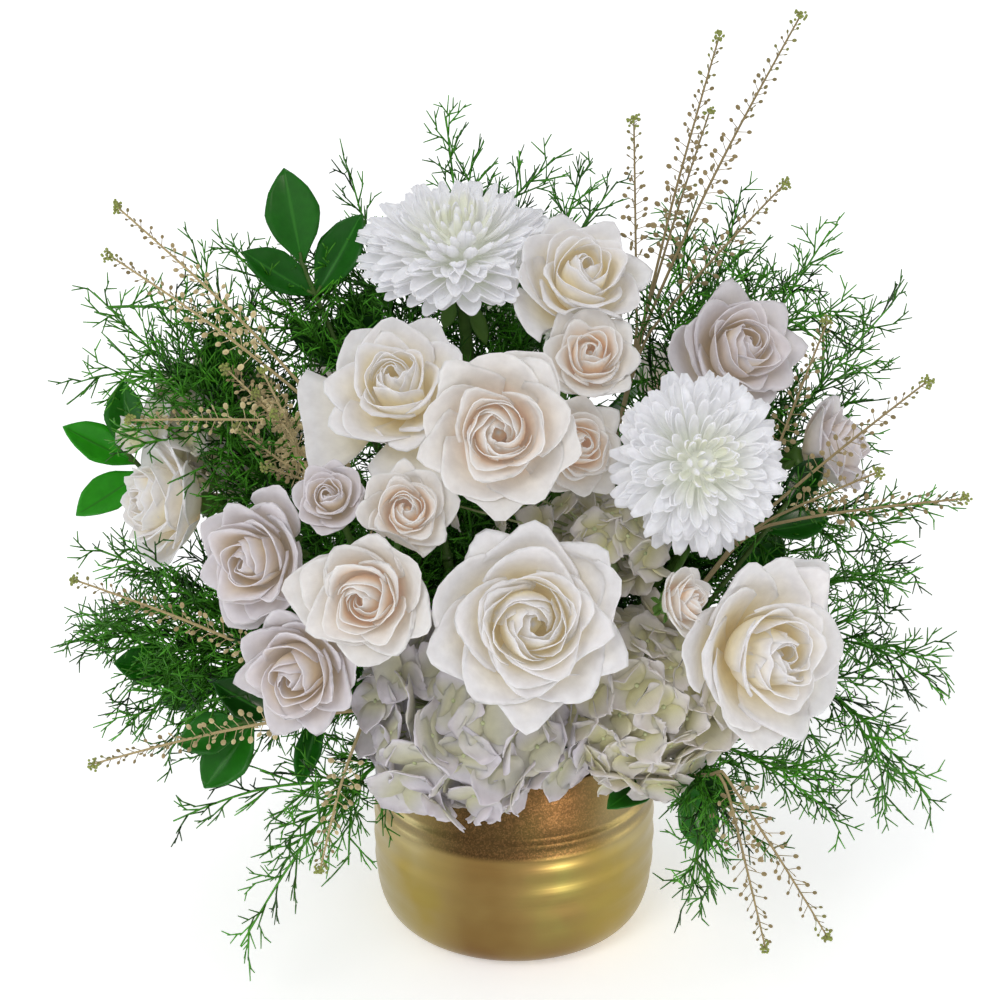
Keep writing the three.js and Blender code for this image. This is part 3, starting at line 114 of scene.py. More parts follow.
# Broad-leaved shoots: the side that their leaves face, and each leaf's tip, share of the way along its
# shoot, and width. A shoot ends at the root of its first leaf.
FRONT = (0, -0.75, 0.66)
BACK = (0, 0.75, 0.66)
SHOOTS = {
    "leafy_top": (FRONT, [((-104, 20, 346), [
        (1, (-110, 20, 390), 26), (0.94, (-74, 26, 366), 22), (0.94, (-130, 10, 352), 20),
        (0.8, (-124, 44, 318), 24), (0.8, (-72, 50, 322), 24)])]),
    "leafy_left": (FRONT, [
        ((-192, 6, 252), [(1, (-190, 6, 288), 20), (0.97, (-220, 0, 267), 19),
                          (0.95, (-214, -14, 226), 20), (0.84, (-196, 40, 214), 22)]),
        ((-146, 2, 282), [(1, (-174, 4, 306), 18), (0.96, (-146, 8, 314), 18), (0.9, (-166, 22, 292), 18)])]),
    "leafy_left_low": (FRONT, [
        ((-130, -74, 144), [(1, (-160, -80, 135), 21), (0.97, (-148, -86, 115), 24),
                            (0.9, (-142, -80, 168), 20), (0.74, (-108, -84, 98), 18)]),
        ((-160, -30, 150), [(1, (-196, -38, 158), 22), (0.9, (-178, -20, 128), 22)])]),
    "leafy_front_right": (FRONT, [
        ((82, -72, 112), [(1, (94, -74, 74), 20), (0.82, (44, -86, 104), 18), (0.9, (108, -64, 96), 20)]),
        ((132, -22, 236), [(1, (150, -24, 264), 18), (0.92, (158, -16, 226), 20),
                           (0.8, (134, 2, 206), 20)])]),
    "leafy_back": (BACK, [
        ((34, 128, 232), [(1, (40, 132, 276), 26), (0.92, (70, 138, 240), 24),
                          (0.84, (2, 140, 236), 24), (0.76, (66, 120, 196), 24)]),
        ((-74, 116, 150), [(1, (-98, 136, 132), 24), (0.94, (-56, 138, 134), 24),
                           (0.86, (-100, 104, 168), 24)])]),
}

# Each asparagus stem: how full its fronds are, their furthest tips, and the tips of further side plumes.
FRONDS = {
    "fern_left_high": (1.4, [(-201, 2, 334), (-158, 36, 346), (-168, -34, 306)], [
        (-126, 10, 313), (-140, 10, 328), (-150, 10, 303), (-109, 0, 286), (-161, 10, 328), (-175, 0, 316),
        (-166, -40, 254), (-141, -50, 248), (-116, -40, 254)]),
    "fern_top_left": (1.4, [(-80, 44, 381), (-136, 16, 352), (-58, 62, 340)], [
        (-90, 20, 325), (-105, 30, 342), (-81, 40, 350), (-95, 10, 303), (-114, 20, 325)]),
    "fern_top": (1.2, [(-34, 70, 404), (34, 58, 382), (2, 88, 368)], [
        (20, 50, 388), (-20, 60, 390), (50, 50, 376)]),
    "fern_right_high": (1.2, [(152, 26, 358), (112, 62, 366), (84, 36, 362)], [
        (120, 20, 350), (140, 20, 340)]),
    "fern_right": (1.2, [(184, 24, 322), (198, -34, 240), (172, 40, 268)], []),
    "fern_right_low": (0.68, [(208, -34, 156), (203, -62, 96), (196, -8, 196)], []),
    "fern_front_right": (0.5, [(152, -98, 106), (92, -104, 64), (136, -52, 132)], []),
    "fern_left_low": (1.4, [(-218, -44, 172), (-204, -26, 214), (-186, -72, 142)], [
        (-191, -40, 192), (-169, -50, 212), (-174, -60, 173), (-148, -50, 197), (-202, -50, 170),
        (-142, -70, 175), (-130, -40, 215)]),
    "fern_front_left": (0.2, [(-131, -112, 44), (-78, -118, 92), (-164, -84, 96)], []),
    "fern_back": (1.1, [(-116, 148, 176), (120, 146, 168), (4, 160, 150)], [
        (-35, -50, 246), (-21, -50, 233), (-80, -50, 261), (40, -40, 234)]),
}

# Each dried plant: how green it still is, the bare share of each seed spike, how far its pods stand off,
# where its seed spikes part, and their tips.
SEED_SPRAYS = {
    "pennycress_left_high": (0.0, 0.36, 1.0, (-86, -12, 272), [
        (-184, -16, 380), (-186, -34, 362), (-176, -62, 292)]),
    "pennycress_left_low": (0.1, 0.3, 1.2, (-70, -72, 150), [
        (-206, -66, 214), (-194, -112, 142), (-90, -132, 98)]),
    "pennycress_top": (0.5, 0.36, 1.0, (60, 26, 300), [
        (94, 14, 453), (132, 22, 461), (92, 30, 414), (55, 6, 416), (126, 4, 386)]),
    "pennycress_right": (0.4, 0.36, 1.0, (112, -30, 226), [
        (150, 6, 318), (192, -34, 301), (166, -66, 268), (207, -66, 255)]),
    "pennycress_low_right": (0.35, 0.1, 1.5, (98, -86, 126), [(119, -112, 44), (148, -112, 50)]),
}


# ---------------------------------------------------------------- settings in the sidebar


def linear(code):
    """An sRGB hex colour as linear numbers with alpha."""
    parts = [int(code[i:i + 2], 16) / 255 for i in (1, 3, 5)]
    return tuple(c / 12.92 if c <= 0.04045 else ((c + 0.055) / 1.055) ** 2.4 for c in parts) + (1.0,)


def in_mm(name, about, size):
    """A length in millimetres as a setting, which Blender keeps in metres."""
    return FloatProperty(name=name, description=about, default=size * MM, min=0, unit="LENGTH", precision=5)


def in_degrees(name, about, angle):
    """An angle in degrees as a setting, which Blender keeps in radians."""
    return FloatProperty(name=name, description=about, default=math.radians(angle), subtype="ANGLE")


def in_colour(name, about, code):
    return FloatVectorProperty(name=name, description=about, default=linear(code), size=4, subtype="COLOR",
                               min=0, max=1)


class PotSettings(bpy.types.PropertyGroup):
    foot: in_mm("Foot radius", "Flat underside of the pot", 48)
    belly: in_mm("Belly radius", "Widest part of the pot", 72.5)
    belly_at: in_mm("Belly height", "Height of the widest part", 46)
    rim: in_mm("Rim radius", "Outside of the rim", 66)
    height: in_mm("Height", "Height of the pot", 105)
    wall: in_mm("Wall", "Thickness of the spun metal", 2)
    gold: in_colour("Gold", "Lacquered brass of the belly", "#8A7344")
    # the copper's dark colour is partly painted shade from the flowers above the shoulder
    copper: in_colour("Copper", "Speckled shoulder above the ring", "#3E2B18")


class RoseSettings(bpy.types.PropertyGroup):
    thick: in_mm("Petal thickness", "A fresh rose petal", 0.4)
    tuck: in_mm("Tuck", "How far one side of a petal lies under the next", 2.4)
    roll: in_mm("Roll radius", "Of a rolled lip on the largest rose", 1.2)
    reflex: in_degrees("Reflex", "How far an outer petal bends back", 50)
    ivory: in_colour("Ivory", "Petals of the large white roses", "#F1EBDC")
    peach: in_colour("Peach", "Petals of the peach-hearted roses", "#EDE6DA")
    pearl: in_colour("Pearl", "Petals of the left and right spray roses", "#E0D7D0")


class MumSettings(bpy.types.PropertyGroup):
    petals: IntProperty(name="Petals", description="Petals of a head", default=250, min=20)
    petal_width: in_mm("Petal width", "Widest outer petal", 9.4)
    thick: in_mm("Petal thickness", "A chrysanthemum petal", 0.5)
    white: in_colour("White", "Chrysanthemum petals", "#EBECEC")


class HydrangeaSettings(bpy.types.PropertyGroup):
    span: FloatProperty(name="Floret span", description="Share of the head's width", default=0.36,
                        subtype="FACTOR", min=0, max=1)
    least: in_mm("Least floret", "Across the smallest floret", 23)
    thick: in_mm("Sepal thickness", "A floret's sepal", 0.4)
    lilac: in_colour("Lilac", "Florets of the head at the front", "#D1CDD1")
    cream: in_colour("Cream", "Florets of the other heads", "#D8D3C6")


class AsparagusSettings(bpy.types.PropertyGroup):
    spacing: in_mm("Branch spacing", "Between branches along an axis", 5.4)
    branch: in_mm("Branch length", "The longest branch of a frond", 36)
    plume: in_mm("Side plume length", "The longest side plume", 76)
    plume_gap: in_mm("Side plume spacing", "Between side plumes", 12)
    twig: in_mm("Twig length", "The longest twig of a branch", 16)
    twig_gap: in_mm("Twig spacing", "Between twigs on a branch", 5.4)
    needle: in_mm("Needle length", "A leaf-like needle", 10.4)
    needle_gap: in_mm("Needle spacing", "Between needles on a twig", 4.2)
    green: in_colour("Green", "The brightest needles", "#5DB52C")


class LeafSettings(bpy.types.PropertyGroup):
    thick: in_mm("Leaf thickness", "A leathery leaf", 0.7)
    curl: in_mm("Curl", "How far the edges rise over the midrib", 3)
    green: in_colour("Green", "The brightest leaves", "#31A01A")


class CressSettings(bpy.types.PropertyGroup):
    pod: in_mm("Pod width", "A round, flat seed pod", 2.9)
    spacing: in_mm("Pod spacing", "Between pods along a spike", 1.6)
    stalk: in_mm("Pod stalk", "The thread that bears a pod", 5.8)
    straw: in_colour("Straw", "Dried stems and pods", "#EADBAF")


class StageSettings(bpy.types.PropertyGroup):
    distance: in_mm("Camera distance", "In front of the pot's axis", 1050)
    height: in_mm("Camera height", "Above the table", 640)
    aside: in_mm("Camera aside", "To the left of the axis", 7.3)
    pitch: in_degrees("Camera pitch", "How far the camera looks down", 21.4)
    lens: FloatProperty(name="Lens", description="Millimetres, on a frame 36 mm wide", default=82.4)
    key: FloatProperty(name="Key light", description="Soft light from the upper left", default=0.8)
    sky: FloatProperty(name="Fill light", description="Even light of a white studio", default=0.72)
    card: FloatProperty(name="Pot light", description="Cards that the pot shows", default=1.5, unit="POWER")
    floor_width: in_mm("Table width", "Of the white table", 6000)
    table_glow: FloatProperty(name="Table glow", description="A lit white table's own light", default=0.4)


class CenterpieceSettings(bpy.types.PropertyGroup):
    pot: PointerProperty(type=PotSettings)
    rose: PointerProperty(type=RoseSettings)
    mum: PointerProperty(type=MumSettings)
    hydrangea: PointerProperty(type=HydrangeaSettings)
    asparagus: PointerProperty(type=AsparagusSettings)
    leaf: PointerProperty(type=LeafSettings)
    cress: PointerProperty(type=CressSettings)
    stage: PointerProperty(type=StageSettings)


class Sizes:
    """A group's settings as plain numbers, its lengths in millimetres."""

    def __init__(self, group):
        for key in group.__annotations__:
            value = getattr(group, key)
            if group.bl_rna.properties[key].unit == "LENGTH":
                value = round(value / MM, 3)
            setattr(self, key, tuple(value) if hasattr(value, "__len__") else value)


def sizes_of(context, name):
    return Sizes(getattr(context.scene.centerpiece, name))


# ---------------------------------------------------------------- numbers


def mix(a, b, t):
    return a + (b - a) * t


def unit(v):
    v = np.asarray(v, float)
    return v / np.maximum(np.linalg.norm(v, axis=-1, keepdims=True), 1e-9)


def smooth(t):
    t = np.clip(t, 0, 1)
    return t * t * (3 - 2 * t)


def draws(seed):
    """A repeatable stream of numbers from 0 to 1, the one that the solids' petals were set by."""
    state = seed

    def draw():
        nonlocal state
        state = (state + 0x6D2B79F5) & 0xFFFFFFFF
        t = ((state ^ (state >> 15)) * (1 | state)) & 0xFFFFFFFF
        t = ((t + (((t ^ (t >> 7)) * (61 | t)) & 0xFFFFFFFF)) & 0xFFFFFFFF) ^ t
        return (t ^ (t >> 14)) / 4294967296

    return draw


def turn_to(axis):
    """The rotation that takes +Z to an axis the short way, as three columns."""
    turned = Vector((0, 0, 1)).rotation_difference(Vector(axis)).to_matrix()
    return np.array(turned)


def sideways(direction):
    """Two unit vectors square to each direction and to each other."""
    direction = unit(direction)
    helper = np.where(np.abs(direction[..., 2:3]) > 0.9, np.array([1.0, 0, 0]), UP)
    first = unit(np.cross(helper, direction))
    return first, np.cross(direction, first)


# ---------------------------------------------------------------- blooms: their places and outlines


class Bloom:
    """Where a bloom is and how far it reaches, all in millimetres."""

    def __init__(self, rank, name, kind, at, face, width, tone):
        self.rank, self.name, self.kind, self.width, self.tone = rank, name, kind, width, tone
        right, lift = (math.radians(d) for d in face)
        self.axis = np.array([
            math.sin(right) * math.cos(lift), -math.cos(right) * math.cos(lift), math.sin(lift)])
        self.height = width * HEIGHT_SHARE[kind]
        self.foot = np.array(at, float) - self.axis * self.height * MIDDLE_SHARE[kind]
        self.middle = self.foot + self.axis * self.height / 2
        self.turn = turn_to(self.axis)

    def depth(self, points, gap):
        """How deep points are in the bloom's egg-shaped outline: under 1 is inside."""
        offset = points - self.middle
        up = offset @ self.axis
        side = offset - up[..., None] * self.axis
        across, along = self.width / 2 + gap, self.height / 2 + gap
        return np.hypot(np.linalg.norm(side, axis=-1) / across, up / along), side, up

    def place(self, points):
        return self.foot + points @ self.turn.T


ALL_BLOOMS = [Bloom(rank, *row) for rank, row in enumerate(BLOOMS)]


def give_way(points, bloom, gap=1.0):
    """Bends a petal's points clear of the blooms in front of its own."""
    points = points.copy()
    rounds = 3  # a point pushed out of one bloom may come to lie in another
    for _ in range(rounds):
        for other in ALL_BLOOMS[:bloom.rank]:
            depth, side, up = other.depth(points, gap)
            inside = (depth < 1) & (depth > 1e-6)
            if inside.any():
                pushed = other.middle + side / depth[..., None] + (up / depth)[..., None] * other.axis
                points[inside] = pushed[inside]
    return points


def inside_reach(point):
    """Whether a point is within the room that the solids take up, or just outside it."""
    low, high = CAD_BOX
    spare = 4  # millimetres
    return all(a / MM - spare < p < b / MM + spare for a, p, b in zip(low, point, high))


def in_a_bloom(points, gap=0.0):
    """Whether each point lies in any bloom."""
    found = np.zeros(points.shape[:-1], bool)
    for bloom in ALL_BLOOMS:
        found |= bloom.depth(points, gap)[0] < 1
    return found


# ---------------------------------------------------------------- modelling


class Shape:
    """A small modelled mesh as numbers, ready to be copied. A sheet's points also have their place across it,
    from -1 to 1, and along it, from 0 to 1."""

    def __init__(self, obj, columns=1, rows=1):
        self.columns, self.rows = columns, rows
        mesh = obj.data
        self.points = np.array([v.co for v in mesh.vertices], float)
        self.loops = np.array([i for face in mesh.polygons for i in face.vertices])
        self.counts = np.array([len(face.vertices) for face in mesh.polygons])
        self.u, self.v = self.points[:, 0], self.points[:, 1]
        self.uv = np.stack([(self.u + 1) / 2, self.v], 1)
        bpy.data.objects.remove(obj)


def nothing_selected():
    if bpy.context.object and bpy.context.object.mode != "OBJECT":
        bpy.ops.object.mode_set(mode="OBJECT")
    bpy.ops.object.select_all(action="DESELECT")


def sheet_shape(columns, rows):
    """A flat sheet from -1 to 1 across and 0 to 1 along, to be shaped as a petal or leaf."""
    nothing_selected()
    bpy.ops.mesh.primitive_grid_add(x_subdivisions=columns, y_subdivisions=rows, size=2)
    bpy.ops.object.mode_set(mode="EDIT")
    bpy.ops.transform.resize(value=(1, 0.5, 1))
    bpy.ops.transform.translate(value=(0, 0.5, 0))
    bpy.ops.object.mode_set(mode="OBJECT")
    return Shape(bpy.context.object, columns, rows)


def needle_shape():
    """A three-sided needle of length 1, hardly thinner at its tip, with its base on the origin."""
    nothing_selected()
    bpy.ops.mesh.primitive_cone_add(vertices=3, radius1=1, radius2=0.6, depth=1, location=(0, 0, 0.5))
    bpy.ops.object.transform_apply(location=True, rotation=False, scale=False)
    return Shape(bpy.context.object)


def pod_shape():
    """A round, flat pod of radius 1 on the origin, its two faces dished towards a raised seed."""
    nothing_selected()
    bpy.ops.mesh.primitive_cylinder_add(vertices=8, radius=1, depth=0.3, end_fill_type="NGON")
    bpy.ops.object.mode_set(mode="EDIT")
    bpy.ops.mesh.select_mode(type="FACE")
    for height in (0.15, -0.15):
        select_faces(lambda face: abs(face.calc_center_median().z - height) < 0.01)
        bpy.ops.mesh.inset(thickness=0.3, depth=-0.05)
        bpy.ops.mesh.inset(thickness=0.3, depth=0.22)
    bpy.ops.object.mode_set(mode="OBJECT")
    return Shape(bpy.context.object)


def bud_shape():
    """A small closed bud of radius 1."""
    nothing_selected()
    bpy.ops.mesh.primitive_ico_sphere_add(subdivisions=1, radius=1)
    return Shape(bpy.context.object)


def select_faces(wanted):
    """Selects the faces of the mesh in edit mode that answer a question, and no others."""
    mesh = bmesh.from_edit_mesh(bpy.context.object.data)
    for face in mesh.faces:
        face.select_set(bool(wanted(face)))
    bmesh.update_edit_mesh(bpy.context.object.data)


class Sheaf:
    """Gathers copies of modelled shapes, in millimetres, to be made one mesh in metres."""

    def __init__(self):
        self.points, self.loops, self.counts, self.uvs, self.tones, self.size = [], [], [], [], [], 0

    def add(self, points, loops, counts, uv, tone):
        self.points.append(points)
        self.loops.append(np.asarray(loops) + self.size)
        self.counts.append(np.asarray(counts))
        self.uvs.append(uv)
        self.tones.append(np.broadcast_to(np.asarray(tone, float), len(points)))
        self.size += len(points)

    def copy(self, shape, points, tone, uv=None):
        self.add(points, shape.loops, shape.counts, shape.uv if uv is None else uv, tone)

    def scatter(self, shape, origins, x_axes, y_axes, z_axes, tones):
        """Copies a shape to many places at once, each with its own scaled axes."""
        count = len(origins)
        if count == 0:
            return
        p = shape.points
        placed = (origins[:, None] + p[None, :, 0:1] * x_axes[:, None] + p[None, :, 1:2] * y_axes[:, None]
                  + p[None, :, 2:3] * z_axes[:, None])
        step = np.arange(count)[:, None] * len(p)
        # how far a point is from the shape's own axis, and how high
        uv = np.tile(np.stack([np.hypot(p[:, 0], p[:, 1]), p[:, 2]], 1), (count, 1))
        self.add(placed.reshape(-1, 3), (shape.loops[None] + step).reshape(-1), np.tile(shape.counts, count),
                 uv, np.repeat(tones, len(p)))

    def balls(self, bud, centres, radii, tone, turn=np.eye(3)):
        """Copies a bud to each centre, with its three radii along the ways of a turned frame."""
        centres = np.atleast_2d(centres)
        ways = np.diag(radii) @ turn.T
        self.scatter(bud, centres, *(np.tile(way, (len(centres), 1)) for way in ways),
                     np.full(len(centres), tone))

    def rod(self, line, radii, sides, tone):
        """A tapering rod along a line, closed at both ends."""
        line = np.asarray(line, float)
        radii = np.broadcast_to(np.asarray(radii, float), len(line))
        along = unit(np.gradient(line, axis=0))
        side = sideways(along[0])[0]
        rings = []
        for centre, ahead, radius in zip(line, along, radii):
            side = unit(side - ahead * (side @ ahead))
            over = np.cross(ahead, side)
            turns = np.arange(sides) / sides * 2 * math.pi
            rings.append(centre + radius * (np.cos(turns)[:, None] * side + np.sin(turns)[:, None] * over))
        points = np.concatenate(rings + [line[:1], line[-1:]])
        last = (len(line) - 1) * sides
        low, high = len(points) - 2, len(points) - 1
        edges = [(i, (i + 1) % sides) for i in range(sides)]
        faces = [(k + i, k + n, k + sides + n, k + sides + i)
                 for k in range(0, last, sides) for i, n in edges]
        faces += [(n, i, low) for i, n in edges]
        faces += [(last + i, last + n, high) for i, n in edges]
        share = np.linspace(0, 1, len(line))
        uv = np.stack([np.tile(np.arange(sides) / sides, len(line)), np.repeat(share, sides)], 1)
        uv = np.concatenate([uv, [[0, 0], [0, 1]]])
        self.add(points, [i for face in faces for i in face], [len(face) for face in faces], uv, tone)

    def make(self, name, material, slot, nodes, thick=0.0):
        """The gathered copies as one finished piece that stands for its nodes."""
        points = np.concatenate(self.points) * MM
        loops, counts = np.concatenate(self.loops), np.concatenate(self.counts)
        mesh = bpy.data.meshes.new(name)
        mesh.vertices.add(len(points))
        mesh.vertices.foreach_set("co", points.ravel())
        mesh.loops.add(len(loops))
        mesh.loops.foreach_set("vertex_index", loops)
        mesh.polygons.add(len(counts))
        mesh.polygons.foreach_set("loop_start", np.concatenate([[0], np.cumsum(counts)[:-1]]))
        mesh.update(calc_edges=True)
        mesh.uv_layers.new(name="surface").data.foreach_set("uv", np.concatenate(self.uvs)[loops].ravel())
        mesh.attributes.new("tone", "FLOAT", "POINT").data.foreach_set("value", np.concatenate(self.tones))
        mesh.validate()
        piece = bpy.data.objects.new(name, mesh)
        bpy.context.collection.objects.link(piece)
        if thick:
            thicken(piece, thick)
        mesh.shade_smooth()
        return dress(piece, material, nodes)


def thicken(piece, thick):
    """Gives a sheet its thickness, half to each side."""
    nothing_selected()
    piece.select_set(True)
    bpy.context.view_layer.objects.active = piece
    bpy.ops.object.modifier_add(type="SOLIDIFY")
    piece.modifiers[-1].thickness = thick * MM
    piece.modifiers[-1].offset = 0
    bpy.ops.object.modifier_apply(modifier=piece.modifiers[-1].name)


def dress(piece, material, nodes):
    """Gives a piece its material, hangs it from the root body and hides the solids that it stands for."""
    piece.data.materials.clear()
    piece.data.materials.append(material)
    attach(piece, "root")
    if nodes:
        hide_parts(*nodes)
    return piece


# ---------------------------------------------------------------- stems: the frame's own routes


FOOT_ZONE = 50  # how near the pot's axis every stem's foot is
CLEAR_STEP = 3  # corners nearer than this to the last one add nothing to a stem's line


class Skeleton:
    """The corners and edges of a CAD node, in millimetres, for finding how its stems run."""

    def __init__(self, node):
        mesh = bmesh.new()
        mesh.from_mesh(frame["nodes"][node].data)
        bmesh.ops.remove_doubles(mesh, verts=mesh.verts, dist=1e-6)
        mesh.verts.index_update()
        self.points = np.array([v.co for v in mesh.verts]) / MM
        self.links = [[] for _ in self.points]
        for edge in mesh.edges:
            a, b = (v.index for v in edge.verts)
            length = float(np.linalg.norm(self.points[a] - self.points[b]))
            self.links[a].append((b, length))
            self.links[b].append((a, length))
        mesh.free()
        # a stem's foot is in the foam, near the pot's axis; a leaning tip may be lower
        near_axis = np.hypot(self.points[:, 0], self.points[:, 1]) < FOOT_ZONE
        self.before = self.walk(int(np.argmin(np.where(near_axis, self.points[:, 2], np.inf))))

    def walk(self, start):
        """For every corner, the one before it on the shortest way from the stem's foot."""
        reached = np.full(len(self.points), np.inf)
        before = np.full(len(self.points), -1)
        reached[start] = 0
        queue = [(0.0, start)]
        while queue:
            far, here = heapq.heappop(queue)
            if far > reached[here]:
                continue
            for there, length in self.links[here]:
                if far + length < reached[there] - 1e-9:
                    reached[there] = far + length
                    before[there] = here
                    heapq.heappush(queue, (reached[there], there))
        return before

    def nearest(self, point):
        away = np.linalg.norm(self.points - np.asarray(point, float), axis=1)
        return int(np.argmin(away)), float(away.min())

    def route(self, end, radius, step=6.0):
        """A smooth middle line from the stem's foot to the corner nearest an end."""
        here = self.nearest(end)[0]
        way = []
        while here >= 0:
            near = np.linalg.norm(self.points - self.points[here], axis=1) < radius * 2.1
            way.append(self.points[near].mean(0))
            here = self.before[here]
        way.reverse()
        kept = [way[0]]
        for p in way[1:]:
            if np.linalg.norm(p - kept[-1]) > CLEAR_STEP:
                kept.append(p)
        return even(np.array(kept), step)


def even(line, step):
    """A line resampled to even steps and softened."""
    for _ in range(2):
        if len(line) > 2:
            # the middle half of each span stays, so that corners are cut
            cut = np.stack([mix(line[:-1], line[1:], 0.25), mix(line[:-1], line[1:], 0.75)], 1)
            line = np.concatenate([line[:1], cut.reshape(-1, 3), line[-1:]])
    far = distances(line)
    return at_marks(np.linspace(0, far[-1], max(3, int(round(far[-1] / step)) + 1)), far, line)


def distances(line):
    """How far along a line each of its points is."""
    return np.concatenate([[0], np.cumsum(np.linalg.norm(np.diff(line, axis=0), axis=1))])


def at_marks(marks, far, values):
    """Values given along a line, read off at marks between them."""
    return np.stack([np.interp(marks, far, values[:, k]) for k in range(3)], -1)


def ending_at(line, tip):
    """A line with its last point moved."""
    return np.concatenate([line[:-1], [np.asarray(tip, float)]])


def around(way, turn):
    """A direction square to a line's, turned round it."""
    first, second = sideways(way)
    return first * np.cos(turn) + second * np.sin(turn)


def along_line(line, shares):
    """Points and directions at shares of a line's length."""
    far = distances(line)
    marks = np.asarray(shares) * far[-1]
    return at_marks(marks, far, line), unit(at_marks(marks, far, unit(np.gradient(line, axis=0))))


# ---------------------------------------------------------------- materials

RAMP, MIX, NOISE, MATHS = "ShaderNodeValToRGB", "ShaderNodeMix", "ShaderNodeTexNoise", "ShaderNodeMath"
MIXED = 2  # the output of a mix that holds its colour


def add_node(tree, kind, inputs, out=0, stops=(), **settings):
    """Adds a shader node with its settings, and gives one of its outputs. Each input takes a plain value or
    another node's output; the stops of a ramp are sRGB hex or linear."""
    made = tree.nodes.new(kind)
    for name, value in settings.items():
        setattr(made, name, value)
    for name, value in inputs.items():
        if isinstance(value, bpy.types.NodeSocket):
            tree.links.new(value, made.inputs[name])
        else:
            made.inputs[name].default_value = value
    if stops:
        elements = made.color_ramp.elements
        while len(elements) < len(stops):
            elements.new(0.5)
        for element, (position, shade) in zip(elements, stops):
            element.position = position
            element.color = linear(shade) if isinstance(shade, str) else shade
    return made.outputs[out]


def new_material(name, **surface):
    """A material whose shader has what is the same all over set on its own sockets."""
    material = bpy.data.materials.new(name)
    material.use_nodes = True
    shader = material.node_tree.nodes["Principled BSDF"]
    for socket, value in surface.items():
        shader.inputs[socket.replace("_", " ")].default_value = value
    return material


def coat(material, colour, height, strength, distance, **others):
    """Feeds a material's shader with its colour, its relief and any other source of numbers."""
    tree = material.node_tree
    relief = add_node(tree, "ShaderNodeBump", {"Height": height, "Strength": strength, "Distance": distance})
    for socket, source in {"Base Color": colour, "Normal": relief, **others}.items():
        tree.links.new(source, tree.nodes["Principled BSDF"].inputs[socket])
    return material


def surface_parts(tree):
    """Where on a petal or leaf a point is: its UV, across, along, its tone and its place in space."""
    uv = add_node(tree, "ShaderNodeUVMap", {}, uv_map="surface")
    across = add_node(tree, "ShaderNodeSeparateXYZ", {"Vector": uv}, "X")
    tone = add_node(tree, "ShaderNodeAttribute", {}, "Fac", attribute_name="tone")
    place = add_node(tree, "ShaderNodeTexCoord", {}, "Object")
    return uv, across, across.node.outputs["Y"], tone, place


def mottled(tree, place, body, scale, detail, share, stops):
    """A colour made uneven, as growth and age make it, and the noise that did so."""
    cloud = add_node(tree, NOISE, {"Vector": place, "Scale": scale, "Detail": detail})
    shade = add_node(tree, RAMP, {"Fac": cloud}, stops=stops)
    body = add_node(tree, MIX, {0: share, 6: body, 7: shade}, MIXED, data_type="RGBA", blend_type="MULTIPLY")
    return body, cloud


# For each kind of petal: its lip, its root, the heart of its bloom, and its glow, which stands in for the
# light that stacked thin petals pass on to each other.
PETAL_TONES = {
    "ivory": ("#E9E8EB", "#E2CC80", "#F4E5B8", 0.1),
    "peach": ("#E8E6E4", "#E0B088", "#F1CDA8", 0.1),
    "pearl": ("#DDD8DD", "#D2BD90", "#E8D3B0", 0.08),
    "snow": ("#EAEBF0", "#D9DECB", "#E6EAC4", 0.15),
    "lilac": ("#D2CCD4", "#C4C2A2", "#C4C68E", 0.04),
    "cream": ("#D8D2D0", "#CBC795", "#CDCB88", 0.04),
}


def petal_material(tone, middle):
    """Fresh petal: matt and velvety, thin enough that light spreads inside it, with fine veins along it."""
    lip, root, heart, glow = PETAL_TONES[tone]
    material = new_material(
        f"fresh petal {tone}", Roughness=0.52, Sheen_Weight=0.1, Sheen_Roughness=0.4, Specular_IOR_Level=0.35,
        Subsurface_Weight=0.6, Subsurface_Scale=1.8 * MM, Subsurface_Radius=(1.0, 0.94, 0.86),
        Emission_Color=middle, Emission_Strength=glow)
    tree = material.node_tree
    uv, _, along, inner, place = surface_parts(tree)
    outer_petal = add_node(tree, RAMP, {"Fac": along}, stops=[(0.2, root), (0.6, middle), (0.88, lip)])
    inner_petal = add_node(tree, RAMP, {"Fac": along}, stops=[(0.2, root), (0.72, heart), (0.98, lip)])
    body = add_node(tree, MIX, {0: inner, 6: outer_petal, 7: inner_petal}, MIXED, data_type="RGBA")
    # petals bruise and age unevenly over some 6 mm
    body, _ = mottled(tree, place, body, 160, 3, 1, [(0.3, "#EAE8E8"), (0.7, "#FBFAFA")])
    # veins about 1.2 mm apart run from root to lip
    stretch = add_node(tree, "ShaderNodeMapping", {"Vector": uv, "Scale": (26, 2.2, 1)})
    veins = add_node(tree, NOISE, {"Vector": stretch, "Scale": 1, "Detail": 2})
    return coat(material, body, veins, 0.22, 0.4 * MM)


